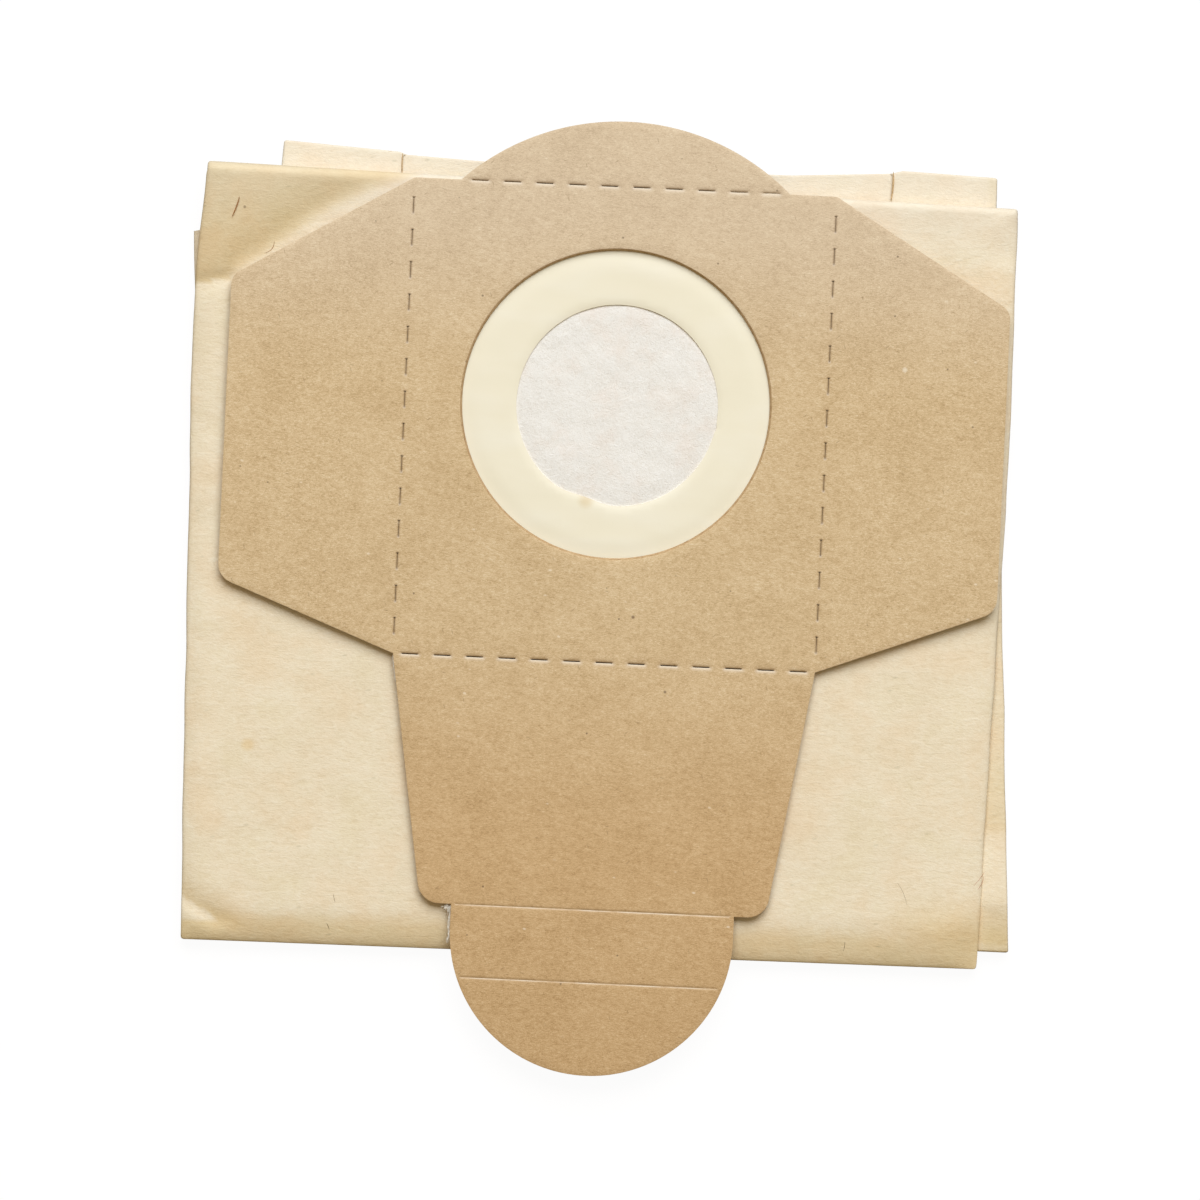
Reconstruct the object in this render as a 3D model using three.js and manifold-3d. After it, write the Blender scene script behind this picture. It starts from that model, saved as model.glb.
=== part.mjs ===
// A paper dust bag for a wet and dry vacuum cleaner, folded flat, lying on its back with the inlet up.
// Millimetres, +Z up. The origin is on the table, straight under the middle of the inlet.
// +Y points to the arched lobe of the card, -Y to its tongue.
import * as THREE from "three";
import { mergeVertices } from "three/addons/utils/BufferGeometryUtils.js";
import Module from "manifold-3d";

const wasm = await Module();
wasm.setup();

const degrees = THREE.MathUtils.degToRad;

// Collar card: one sheet of board, cut to shape, symmetric left and right.
const BOARD = 1; // thickness
const CARD_WIDTH = 192.6; // across both wings
const CARD_HOLE_D = 76.6;
const FRAME_WIDTH = 104.4; // between the two upright hinge lines
const FRAME_TOP = 53.75; // inlet middle up to the shoulders
const FRAME_BOTTOM = 63.9; // inlet middle down to the lower hinge line
const LOBE_TOP = 69.9; // inlet middle up to the top of the lobe
const LOBE_R = 59.3;
const WING_TOP = 27.5; // where a wing's upper slant meets its outer edge
const WING_BOTTOM = 47; // where its lower slant meets its outer edge, below the inlet middle
const WING_TOP_CORNER_R = 4;
const WING_BOTTOM_CORNER_R = 5;
const FLAP_LENGTH = 61.2;
const FLAP_END_WIDTH = 85.4;
const FLAP_CORNER_R = 5.4;
const TONGUE_LENGTH = 41;
const TONGUE_WIDTH = 70;

// Cuts and presses in the card.
const CUT_LENGTH = 4; // one cut of a perforated line
const TIE_LENGTH = 4; // the board left between two cuts
const CUT_WIDTH = 0.4;
const PERFORATION_MARGIN = 2; // the least board between the line's end and the end of its edge
const SCORE_WIDTH = 0.5;
const SCORE_DEPTH = 0.3;
const SCORE_INSET = 1.2; // a score stops this far inside the tongue's edge
const SCORE_SPACING = 18; // the flap's end to the second score

// How the card's panels lie at rest. A positive angle lifts the panel's far edge.
const LEFT_WING_LIFT = degrees(1.9);
const RIGHT_WING_LIFT = degrees(0.5);
const TONGUE_LIFT = degrees(-0.6);
const TIP_LIFT = degrees(-0.8);

// Rubber ring under the card.
const RING = 0.6; // thickness
const RING_HOLE_D = 49.9;
const RING_OUTER_D = 100;
const RING_OFF_X = 0.35; // the ring was glued a little off the card's middle
const RING_OFF_Y = -0.3;

// Paper bag: a long flat tube, its sides folded in at the back.
// The head panel is folded down behind the front panel, and the tail panel up behind the head panel.
const FRONT_WIDTH = 200.6; // front panel at the top fold, side fold to side fold
const FRONT_SHIFT = -3.1; // the front panel's middle, from the inlet's middle
const FRONT_BULGE_LEFT = 1.9; // how far the left side fold bellies out at the crease
const FRONT_BULGE_RIGHT = 0.6; // and the right one, level with the inlet
const BOTTOM_TAPER_LEFT = 1.9; // how much the front panel draws in at the bottom fold
const BOTTOM_TAPER_RIGHT = 1.7;
const TOP_FOLD = 54.3; // inlet middle up to the top fold
const TOP_FOLD_SLOPE = -0.013; // rise over run
const BOTTOM_FOLD = 135.8; // inlet middle down to the bottom fold
const BOTTOM_FOLD_SLOPE = 0.008;
const HEAD_WIDTH = 198.8;
const HEAD_LEFT = -106.3; // the head panel's upper left corner, which peeps out behind the front panel
const HEAD_CORNER_Y = 37.7;
const HEAD_TILT = degrees(3.65); // the head panel was folded down askew
const HEAD_END = 131; // inlet middle down to the head panel's closed end
const HEAD_TUCK = 3.8; // how far the head panel's left fold is tucked in above its corner
const HEAD_CORNER_STEP = 1; // the height over which it steps out
const TAIL_END = 60.4; // inlet middle up to the tail panel's closed end
const TAIL_END_LEFT = -85.2;
const TAIL_END_RIGHT = 91.7;
const TAIL_END_DIP = 2.1; // the end dips between the folded-in sides
const SIDE_LEFT = 29.7; // width of paper folded in at the left, and at the right
const SIDE_RIGHT = 26;

// Thicknesses of the paper where it lies in layers, and the air between them.
const FRONT_LAYER = 1.4; // both walls of the front panel, with the inner ply between them
const BACK_LAYER = 0.8; // both walls of the head or tail panel, pressed together
const SIDE_LAYER = 0.6; // both walls of a folded-in side
const SIDE_SLOT = 0.3;
const HEAD_AIR = 0.4; // between the front panel's sides and the head panel's sides
const TAIL_AIR = 0.3; // between the head panel and the tail panel's sides
const BAG_WALL = 0.25; // the front panel's front wall, and its back wall
const BAG_HOLE_D = 64;
const INNER_PLY = 0.3;
const GLUE_GAP = 0.3; // between glued or touching pieces
const INNER_PLY_MARGIN = 4; // the hollow stops this far inside the front panel's folds

// The front panel's upper left corner is creased along the card's slanted edge and stands up a little.
const CREASE_OFFSET = 3.4; // from the card's slanted edge to the crease
const CORNER_LIFT = degrees(10.5);

// How finely round shapes and the folded paper are divided.
const ARC_CHORD = 3;
const ROUND_STEPS = 5; // across a side fold
const BEND_STEPS = 8; // round the top and bottom folds
const FACE_COLUMNS = 22;
const BACK_COLUMNS = 15;
const SIDE_COLUMNS = 2; // across a folded-in side
const PANEL_STEP = 40; // between cross-sections where the paper is flat
const CORNER_STEP = 5; // and where its corner stands up

// Levels, from the table up.
const backReach = BACK_LAYER / 2 + SIDE_SLOT + SIDE_LAYER; // mid-layer to the face of its folded-in side
const frontReach = FRONT_LAYER / 2 + SIDE_SLOT + SIDE_LAYER;
const tailZ = BACK_LAYER / 2;
const headZ = tailZ + backReach + TAIL_AIR + BACK_LAYER / 2;
const frontZ = headZ + backReach + HEAD_AIR + frontReach;
const paperTopZ = frontZ + FRONT_LAYER / 2;
const ringZ = paperTopZ + GLUE_GAP;
const cardZ = ringZ + RING + GLUE_GAP;
const cardTopZ = cardZ + BOARD;

// Points worked out from the sizes above.
const frameX = FRAME_WIDTH / 2;
const wingX = CARD_WIDTH / 2;
const flapEndY = -FRAME_BOTTOM - FLAP_LENGTH;
const tongueR = TONGUE_WIDTH / 2;
const tongueMiddleY = flapEndY - TONGUE_LENGTH + tongueR;
const scoreY = flapEndY - SCORE_SPACING;
const frontLeft = FRONT_SHIFT - FRONT_WIDTH / 2;
const frontRight = FRONT_SHIFT + FRONT_WIDTH / 2;

// A closed, indexed geometry as a solid for joining and cutting.
function solid(geometry) {
  const bare = geometry.clone();
  bare.deleteAttribute("normal");
  bare.deleteAttribute("uv");
  const merged = mergeVertices(bare, 1e-4);
  return new wasm.Manifold(
    new wasm.Mesh({
      numProp: 3,
      vertProperties: new Float32Array(merged.attributes.position.array),
      triVerts: new Uint32Array(merged.index.array),
    }),
  );
}

// A solid back as a geometry.
function geometryOf(body) {
  const mesh = body.getMesh();
  const positions = new Float32Array(mesh.numVert * 3);
  for (let i = 0; i < mesh.numVert; i++) {
    const first = i * mesh.numProp;
    positions.set(mesh.vertProperties.subarray(first, first + 3), i * 3);
  }
  const geometry = new THREE.BufferGeometry();
  geometry.setAttribute("position", new THREE.BufferAttribute(positions, 3));
  geometry.setIndex(new THREE.BufferAttribute(mesh.triVerts, 1));
  geometry.computeVertexNormals();
  return geometry;
}

function joined(bodies) {
  return bodies.reduce((whole, body) => whole.add(body));
}

function without(body, cutters) {
  return cutters.length ? body.subtract(joined(cutters)) : body;
}

// Points along an arc, in equal chords.
function arc(x, y, radius, from, to) {
  const steps = Math.max(3, Math.ceil((Math.abs(to - from) * radius) / ARC_CHORD));
  const curve = new THREE.EllipseCurve(x, y, radius, radius, from, to, to < from);
  return curve.getPoints(steps);
}

// An outline through corners [x, y, radius], each rounded by its radius where it has one.
function outline(corners) {
  const points = [];
  corners.forEach(([x, y, radius = 0], i) => {
    const corner = new THREE.Vector2(x, y);
    if (!radius) {
      points.push(corner);
      return;
    }
    const [beforeX, beforeY] = corners[(i + corners.length - 1) % corners.length];
    const [afterX, afterY] = corners[(i + 1) % corners.length];
    const back = new THREE.Vector2(beforeX, beforeY).sub(corner).normalize();
    const on = new THREE.Vector2(afterX, afterY).sub(corner).normalize();
    const half = Math.acos(back.dot(on)) / 2;
    const middle = back.clone().add(on).normalize().multiplyScalar(radius / Math.sin(half)).add(corner);
    const start = back.clone().multiplyScalar(radius / Math.tan(half)).add(corner).sub(middle).angle();
    const turn = Math.PI - 2 * half;
    const side = Math.sign(on.cross(back));
    points.push(...arc(middle.x, middle.y, radius, start, start + side * turn));
  });
  return points;
}

// A flat plate of the given outline and holes, its underside at height z.
function plate(points, holes, z, thickness) {
  const shape = new THREE.Shape(points);
  shape.holes = holes.map((hole) => new THREE.Path(hole));
  const geometry = new THREE.ExtrudeGeometry(shape, { depth: thickness, bevelEnabled: false });
  return geometry.translate(0, 0, z);
}

function circle(x, y, radius) {
  return arc(x, y, radius, 0, 2 * Math.PI).slice(0, -1);
}

// How far the card stands above its flat frame at a point. Its panels bend along their hinge lines.
function cardRise(x, y) {
  const leftWing = Math.max(0, -x - frameX) * Math.tan(LEFT_WING_LIFT);
  const rightWing = Math.max(0, x - frameX) * Math.tan(RIGHT_WING_LIFT);
  const tongue = Math.max(0, flapEndY - y) * Math.tan(TONGUE_LIFT);
  const tip = Math.max(0, scoreY - y) * Math.tan(TIP_LIFT);
  return leftWing + rightWing + tongue + tip;
}

// The geometry with each of its points raised to the card's lie.
function raised(geometry) {
  const position = geometry.getAttribute("position");
  for (let i = 0; i < position.count; i++) {
    position.setZ(i, position.getZ(i) + cardRise(position.getX(i), position.getY(i)));
  }
  return geometry;
}

// One flat panel of the card. Neighbours share the edge along their hinge line.
function panel(points, holes = []) {
  return raised(plate(points, holes, cardZ, BOARD));
}

function frameAndLobe() {
  const lobeY = LOBE_TOP - LOBE_R;
  const start = Math.asin((FRAME_TOP - lobeY) / LOBE_R);
  const points = [
    new THREE.Vector2(-frameX, -FRAME_BOTTOM),
    new THREE.Vector2(frameX, -FRAME_BOTTOM),
    new THREE.Vector2(frameX, FRAME_TOP),
    ...arc(0, lobeY, LOBE_R, start, Math.PI - start),
    new THREE.Vector2(-frameX, FRAME_TOP),
  ];
  return panel(points, [circle(0, 0, CARD_HOLE_D / 2)]);
}

function wing(side) {
  const corners = [
    [side * frameX, -FRAME_BOTTOM],
    [side * wingX, -WING_BOTTOM, WING_BOTTOM_CORNER_R],
    [side * wingX, WING_TOP, WING_TOP_CORNER_R],
    [side * frameX, FRAME_TOP],
  ];
  return panel(outline(corners));
}

function flap() {
  const endX = FLAP_END_WIDTH / 2;
  const corners = [
    [frameX, -FRAME_BOTTOM],
    [-frameX, -FRAME_BOTTOM],
    [-endX, flapEndY, FLAP_CORNER_R],
    [endX, flapEndY, FLAP_CORNER_R],
  ];
  return panel(outline(corners));
}

// Half the tongue's width at a height.
function tongueHalfWidth(y) {
  const below = Math.max(0, tongueMiddleY - y);
  return Math.sqrt(tongueR ** 2 - below ** 2);
}

function tongueNeck() {
  const angle = Math.acos(tongueHalfWidth(scoreY) / tongueR);
  const points = [
    new THREE.Vector2(-tongueR, flapEndY),
    ...arc(0, tongueMiddleY, tongueR, Math.PI, Math.PI + angle),
    ...arc(0, tongueMiddleY, tongueR, -angle, 0),
    new THREE.Vector2(tongueR, flapEndY),
  ];
  return panel(points);
}

function tongueTip() {
  const angle = Math.acos(tongueHalfWidth(scoreY) / tongueR);
  return panel(arc(0, tongueMiddleY, tongueR, Math.PI + angle, 2 * Math.PI - angle));
}

// The middles of the cuts of a perforated line, along an edge of the given length about its middle.
function cutPlaces(edge) {
  const pitch = CUT_LENGTH + TIE_LENGTH;
  const count = Math.floor((edge - 2 * PERFORATION_MARGIN + TIE_LENGTH) / pitch);
  return Array.from({ length: count }, (_, i) => (i - (count - 1) / 2) * pitch);
}

// One cut of a perforated line, right through the board.
function cut(x, y, upright) {
  const across = upright ? CUT_WIDTH : CUT_LENGTH;
  const along = upright ? CUT_LENGTH : CUT_WIDTH;
  return new THREE.BoxGeometry(across, along, 3 * BOARD).translate(x, y, cardZ + BOARD / 2);
}

function perforations() {
  const shoulderX = Math.sqrt(LOBE_R ** 2 - (FRAME_TOP - LOBE_TOP + LOBE_R) ** 2);
  const middleY = (FRAME_TOP - FRAME_BOTTOM) / 2;
  const upright = cutPlaces(FRAME_TOP + FRAME_BOTTOM).map((y) => y + middleY);
  return [
    ...upright.map((y) => cut(-frameX, y, true)),
    ...upright.map((y) => cut(frameX, y, true)),
    ...cutPlaces(FRAME_WIDTH).map((x) => cut(x, -FRAME_BOTTOM, false)),
    ...cutPlaces(2 * shoulderX).map((x) => cut(x, FRAME_TOP, false)),
  ];
}

// A pressed score across the tongue: a shallow groove with sloping sides.
function score(y) {
  const half = tongueHalfWidth(y) - SCORE_INSET;
  const groove = new THREE.Shape([
    new THREE.Vector2(0, -SCORE_DEPTH),
    new THREE.Vector2(SCORE_WIDTH, SCORE_DEPTH),
    new THREE.Vector2(-SCORE_WIDTH, SCORE_DEPTH),
  ]);
  const geometry = new THREE.ExtrudeGeometry(groove, { depth: 2 * half, bevelEnabled: false });
  geometry.translate(0, 0, -half).rotateX(Math.PI / 2).rotateZ(Math.PI / 2);
  return geometry.translate(0, y, cardTopZ + cardRise(0, y));
}

function collarCard() {
  const panels = [frameAndLobe(), wing(-1), wing(1), flap(), tongueNeck(), tongueTip()];
  const cutters = [...perforations(), score(flapEndY), score(scoreY)];
  return geometryOf(without(joined(panels.map(solid)), cutters.map(solid)));
}

// Rubber ring

function sealRing() {
  const outer = circle(0, 0, RING_OUTER_D / 2);
  const hole = circle(RING_OFF_X, RING_OFF_Y, RING_HOLE_D / 2);
  return plate(outer, [hole], ringZ, RING);
}

// Folded paper

// The crease runs along the card's upper left slant, at an offset.
const creaseRun = new THREE.Vector2(wingX - frameX, FRAME_TOP - WING_TOP).normalize();
const creaseNormal = new THREE.Vector2(-creaseRun.y, creaseRun.x);
const creaseStart = new THREE.Vector2(-wingX, WING_TOP).addScaledVector(creaseNormal, CREASE_OFFSET);

// The crease's height in the plane at a given x.
function creaseY(x) {
  return creaseStart.y + ((x - creaseStart.x) * creaseRun.y) / creaseRun.x;
}

// How far the front panel stands up at a point: nothing below the crease, more towards the corner.
function cornerRise(x, y) {
  const above = creaseNormal.dot(new THREE.Vector2(x, y).sub(creaseStart));
  return Math.max(0, above) * Math.tan(CORNER_LIFT);
}

function mix(from, to, share) {
  return from + (to - from) * share;
}

// Straight lines between [position, value] pairs in rising order of position.
function along(pairs, position) {
  const after = pairs.findIndex(([at]) => at >= position);
  if (after === 0) return pairs[0][1];
  if (after < 0) return pairs[pairs.length - 1][1];
  const [fromAt, from] = pairs[after - 1];
  const [toAt, to] = pairs[after];
  return mix(from, to, (position - fromAt) / (toAt - fromAt));
}

// The side folds of the three panels, left and right, by height in the plane.
const bellyY = creaseY(frontLeft - FRONT_BULGE_LEFT);
const frontSides = {
  left: [
    [-BOTTOM_FOLD, frontLeft + BOTTOM_TAPER_LEFT],
    [bellyY, frontLeft - FRONT_BULGE_LEFT],
    [TOP_FOLD, frontLeft],
  ],
  right: [
    [-BOTTOM_FOLD, frontRight - BOTTOM_TAPER_RIGHT],
    [0, frontRight + FRONT_BULGE_RIGHT],
    [TOP_FOLD, frontRight],
  ],
};
const headLean = Math.tan(HEAD_TILT) * (HEAD_CORNER_Y + HEAD_END);
const headSides = {
  left: [
    [-HEAD_END, HEAD_LEFT + headLean],
    [HEAD_CORNER_Y - HEAD_CORNER_STEP / 2, HEAD_LEFT],
    [HEAD_CORNER_Y + HEAD_CORNER_STEP / 2, HEAD_LEFT + HEAD_TUCK],
    [TOP_FOLD, frontLeft],
  ],
  right: [
    [-HEAD_END, HEAD_LEFT + HEAD_WIDTH + headLean],
    [HEAD_CORNER_Y, HEAD_LEFT + HEAD_WIDTH],
    [TOP_FOLD, frontRight],
  ],
};
const tailSides = {
  left: [
    [-BOTTOM_FOLD, frontLeft + BOTTOM_TAPER_LEFT],
    [TAIL_END, TAIL_END_LEFT],
  ],
  right: [
    [-BOTTOM_FOLD, frontRight - BOTTOM_TAPER_RIGHT],
    [TAIL_END, TAIL_END_RIGHT],
  ],
};

// One cross-section of the folded paper. The layer faces out along (faceY, faceZ).
function station(sides, y, z, faceY, faceZ, layer, slope, more) {
  const left = along(sides.left, y);
  const right = along(sides.right, y);
  return { y, z, faceY, faceZ, layer, slope, left, right, rise: 0, riseY: y, dip: 0, ...more };
}

const topRadius = (frontZ - headZ) / 2;
const bottomRadius = (frontZ - tailZ) / 2;
const topMiddleY = TOP_FOLD - topRadius - FRONT_LAYER / 2;
const bottomMiddleY = -BOTTOM_FOLD + bottomRadius + FRONT_LAYER / 2;

// Evenly spaced values strictly between two ends.
function between(from, to, count) {
  return Array.from({ length: count }, (_, i) => mix(from, to, (i + 1) / (count + 1)));
}

// Heights in the plane from one end to the other, in equal steps near a size.
function steps(from, to, size) {
  const count = Math.max(1, Math.round(Math.abs(to - from) / size));
  return Array.from({ length: count + 1 }, (_, i) => mix(from, to, i / count));
}

function headStations() {
  const heights = [
    ...steps(-HEAD_END, HEAD_CORNER_Y - HEAD_CORNER_STEP / 2, PANEL_STEP),
    ...steps(HEAD_CORNER_Y + HEAD_CORNER_STEP / 2, topMiddleY, PANEL_STEP),
  ];
  return heights.slice(0, -1).map((y) => {
    const slope = TOP_FOLD_SLOPE * Math.max(0, y / TOP_FOLD);
    return station(headSides, y, headZ, 0, -1, BACK_LAYER, slope);
  });
}

function topFoldStations() {
  return steps(-90, 90, 180 / BEND_STEPS).map((angle) => {
    const faceY = Math.cos(degrees(angle));
    const faceZ = Math.sin(degrees(angle));
    const share = (1 + faceZ) / 2;
    const y = topMiddleY + topRadius * faceY;
    const z = mix(headZ, frontZ, share);
    const layer = mix(BACK_LAYER, FRONT_LAYER, share);
    const more = { left: frontLeft, right: frontRight, rise: share, riseY: topMiddleY };
    return station(frontSides, y, z, faceY, faceZ, layer, TOP_FOLD_SLOPE, more);
  });
}

function frontStations() {
  const standing = steps(topMiddleY, bellyY, CORNER_STEP);
  const heights = [...standing, ...steps(bellyY, bottomMiddleY, PANEL_STEP).slice(1)];
  return heights.slice(1, -1).map((y) => {
    const share = (y - bottomMiddleY) / (topMiddleY - bottomMiddleY);
    const slope = mix(BOTTOM_FOLD_SLOPE, TOP_FOLD_SLOPE, share);
    return station(frontSides, y, frontZ, 0, 1, FRONT_LAYER, slope, { rise: 1 });
  });
}

function bottomFoldStations() {
  return steps(90, 270, 180 / BEND_STEPS).map((angle) => {
    const faceY = Math.cos(degrees(angle));
    const faceZ = Math.sin(degrees(angle));
    const share = (1 + faceZ) / 2;
    const y = bottomMiddleY + bottomRadius * faceY;
    const z = mix(tailZ, frontZ, share);
    const layer = mix(BACK_LAYER, FRONT_LAYER, share);
    return station(frontSides, y, z, faceY, faceZ, layer, BOTTOM_FOLD_SLOPE);
  });
}

function tailStations() {
  const heights = steps(bottomMiddleY, TAIL_END, PANEL_STEP).slice(1);
  return heights.map((y, i) => {
    const slope = mix(BOTTOM_FOLD_SLOPE, 0, (i + 1) / heights.length);
    const dip = i === heights.length - 1 ? TAIL_END_DIP : 0;
    return station(tailSides, y, tailZ, 0, -1, BACK_LAYER, slope, { dip });
  });
}

// The outline of a cross-section from the face round the right side fold to the back, as [x, w] pairs.
// w is the height above the middle of the layer. The faces on either side of the slot are divided at the
// same places, so the slot keeps its width where the panel bends.
function sideFold(s, sideWidth) {
  const depth = s.layer + SIDE_SLOT + SIDE_LAYER;
  const radius = depth / 2;
  const round = steps(90, -90, 180 / ROUND_STEPS).map((angle) => [
    -radius + radius * Math.cos(degrees(angle)),
    s.layer / 2 - radius + radius * Math.sin(degrees(angle)),
  ]);
  const back = s.layer / 2 - depth;
  const across = between(-s.layer, -sideWidth, SIDE_COLUMNS);
  return [
    ...round,
    ...across.map((x) => [x, back]),
    [-sideWidth, back],
    [-sideWidth, back + SIDE_LAYER],
    ...across.toReversed().map((x) => [x, back + SIDE_LAYER]),
    [-s.layer, back + SIDE_LAYER],
    [-s.layer, -s.layer / 2],
    ...across.map((x) => [x, -s.layer / 2]),
  ];
}

// All points of a cross-section, placed in space.
function ring(s) {
  const right = sideFold(s, SIDE_RIGHT).map(([x, w]) => [s.right + x, w]);
  const left = sideFold(s, SIDE_LEFT).map(([x, w]) => [s.left - x, w]);
  const face = between(left[0][0], right[0][0], FACE_COLUMNS).map((x) => [x, s.layer / 2]);
  const innerLeft = s.left + SIDE_LEFT;
  const innerRight = s.right - SIDE_RIGHT;
  const backXs = [innerRight, ...between(innerRight, innerLeft, BACK_COLUMNS), innerLeft];
  const back = backXs.map((x) => [x, -s.layer / 2]);
  const section = [...face, ...right, ...back, ...left.reverse()];
  const points = section.map(([x, w]) => {
    const inside = THREE.MathUtils.clamp(Math.min(x - innerLeft, innerRight - x) / TAIL_END_DIP, 0, 1);
    const y = s.y + w * s.faceY + s.slope * x - s.dip * inside;
    const z = s.z + w * s.faceZ + s.rise * cornerRise(x, s.riseY);
    return new THREE.Vector3(x, y, z);
  });
  return { section: section.map(([x, w]) => new THREE.Vector2(x, w)), points };
}

// A closed skin over a row of rings, with a cap on each end.
function skin(rings) {
  const size = rings[0].points.length;
  const positions = rings.flatMap((one) => one.points.flatMap((p) => [p.x, p.y, p.z]));
  const index = [];
  for (let i = 0; i + 1 < rings.length; i++) {
    for (let j = 0; j < size; j++) {
      const a = i * size + j;
      const b = i * size + ((j + 1) % size);
      index.push(a, a + size, b, b, a + size, b + size);
    }
  }
  const cap = (ringNumber, flip) => {
    const first = ringNumber * size;
    const faces = THREE.ShapeUtils.triangulateShape(rings[ringNumber].section, []);
    faces.forEach(([a, b, c]) => index.push(first + a, first + (flip ? b : c), first + (flip ? c : b)));
  };
  cap(0, false);
  cap(rings.length - 1, true);
  const geometry = new THREE.BufferGeometry();
  geometry.setAttribute("position", new THREE.Float32BufferAttribute(positions, 3));
  return geometry.setIndex(index);
}

// The panel's back starts to bend up to one cell of its faces before the crease, so the hollow stays
// a cell clear of the crease.
const backColumnWidth = (FRONT_WIDTH - SIDE_LEFT - SIDE_RIGHT) / (BACK_COLUMNS + 1);
const sideColumnWidth = SIDE_LEFT / (SIDE_COLUMNS + 1);
const cellWidth = Math.max(backColumnWidth, sideColumnWidth);
const creaseClearance = cellWidth * Math.abs(creaseNormal.x) + CORNER_STEP * creaseNormal.y;

// The plan of the hollow in the front panel, drawn in from the folds by a margin, and from the crease.
function hollowPlan(margin) {
  const left = frontLeft + BOTTOM_TAPER_LEFT + margin;
  const right = frontRight - BOTTOM_TAPER_RIGHT - margin;
  const top = topMiddleY - Math.abs(TOP_FOLD_SLOPE) * FRONT_WIDTH - margin;
  const bottom = bottomMiddleY + BOTTOM_FOLD_SLOPE * FRONT_WIDTH + margin;
  const belowCrease = (creaseClearance + margin) / creaseNormal.y;
  const slantTop = creaseStart.x + ((top + belowCrease - creaseStart.y) * creaseRun.x) / creaseRun.y;
  return [
    new THREE.Vector2(left, bottom),
    new THREE.Vector2(right, bottom),
    new THREE.Vector2(right, top),
    new THREE.Vector2(slantTop, top),
    new THREE.Vector2(left, creaseY(left) - belowCrease),
  ];
}

function paperBag() {
  const rings = [
    ...headStations(),
    ...topFoldStations(),
    ...frontStations(),
    ...bottomFoldStations(),
    ...tailStations(),
  ].map(ring);
  const depth = FRONT_LAYER - 2 * BAG_WALL;
  const hollow = plate(hollowPlan(INNER_PLY_MARGIN), [], frontZ - depth / 2, depth);
  const hole = plate(circle(0, 0, BAG_HOLE_D / 2), [], frontZ, FRONT_LAYER);
  return geometryOf(without(solid(skin(rings)), [solid(hollow), solid(hole)]));
}

function innerPly() {
  const margin = INNER_PLY_MARGIN + GLUE_GAP;
  return plate(hollowPlan(margin), [], frontZ - INNER_PLY / 2, INNER_PLY);
}

// Parts and materials

function part(name, geometry, color, roughness) {
  const material = new THREE.MeshStandardMaterial({ color, roughness, metalness: 0 });
  const mesh = new THREE.Mesh(geometry, material);
  mesh.name = name;
  return mesh;
}

const dustBag = new THREE.Group();
dustBag.add(part("collar_card", collarCard(), 0xcdaf82, 0.9));
dustBag.add(part("seal_membrane", sealRing(), 0xf0ead0, 0.55));
dustBag.add(part("paper_bag", paperBag(), 0xebdab8, 0.92));
dustBag.add(part("inner_ply", innerPly(), 0xf0ebe4, 0.95));

export default dustBag;
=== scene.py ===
import math

import bpy
import numpy as np
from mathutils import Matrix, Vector, noise
from mathutils.geometry import delaunay_2d_cdt


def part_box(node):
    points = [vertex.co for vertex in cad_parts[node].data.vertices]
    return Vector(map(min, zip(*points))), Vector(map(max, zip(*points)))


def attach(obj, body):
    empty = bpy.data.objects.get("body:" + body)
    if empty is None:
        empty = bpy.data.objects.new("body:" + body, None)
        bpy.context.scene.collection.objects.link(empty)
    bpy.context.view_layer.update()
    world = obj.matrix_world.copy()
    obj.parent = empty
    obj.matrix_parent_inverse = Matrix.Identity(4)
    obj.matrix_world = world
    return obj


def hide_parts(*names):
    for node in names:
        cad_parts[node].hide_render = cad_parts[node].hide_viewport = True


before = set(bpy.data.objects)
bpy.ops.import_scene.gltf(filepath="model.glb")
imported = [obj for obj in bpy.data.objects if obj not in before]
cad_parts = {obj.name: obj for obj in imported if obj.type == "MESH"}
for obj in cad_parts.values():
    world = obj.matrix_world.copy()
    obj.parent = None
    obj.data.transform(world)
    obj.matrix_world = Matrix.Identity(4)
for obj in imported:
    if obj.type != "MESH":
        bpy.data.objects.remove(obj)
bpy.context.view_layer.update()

# Levels, from the frame.
card_low, card_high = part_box("collar_card")
ring_low, ring_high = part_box("seal_membrane")
ply_low, ply_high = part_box("inner_ply")

# Collar card
BOARD = 0.001
CARD_WIDTH = card_high.x - card_low.x
CARD_HOLE_R = 0.0385  # at the face. The cut edge slopes in towards the underside
CARD_HOLE_LOW_R = 0.038
FRAME_X = 0.0522  # the upright hinge lines, left and right of the inlet
FRAME_TOP = 0.05375
FRAME_BOTTOM = 0.0639
LOBE_TOP = card_high.y
LOBE_R = 0.0593
WING_TOP = 0.0275
WING_BOTTOM = 0.047
WING_TOP_CORNER_R = 0.004
WING_BOTTOM_CORNER_R = 0.005
SHOULDER_R = 0.0016
FLAP_END = 0.1251
FLAP_END_X = 0.0427
FLAP_CORNER_R = 0.0054
TONGUE_R = 0.035
TONGUE_END = -card_low.y
CARD_Z = ring_high.z + 0.0003

# Cuts and presses in the card
CUT_LENGTH = 0.004
TIE_LENGTH = 0.004
CUT_WIDTH = 0.00022
UPRIGHT_CUT_WIDTH = 0.00009
CUT_HEAD = 0.0003  # half the width of the nick at an upright cut's top end
CUT_HEAD_HEIGHT = 0.00018
PERFORATION_MARGIN = 0.002
SCORE_INSET = 0.0012
SCORE_SPACING = 0.018
CUT_REACH = 0.0016  # how far the board is marked round a cut

# How the card's panels lie. A positive angle lifts the panel's far edge.
LEFT_WING_LIFT = math.radians(0.3)
RIGHT_WING_LIFT = math.radians(0.5)
TONGUE_LIFT = math.radians(-0.6)
TIP_LIFT = math.radians(-0.8)

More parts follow.
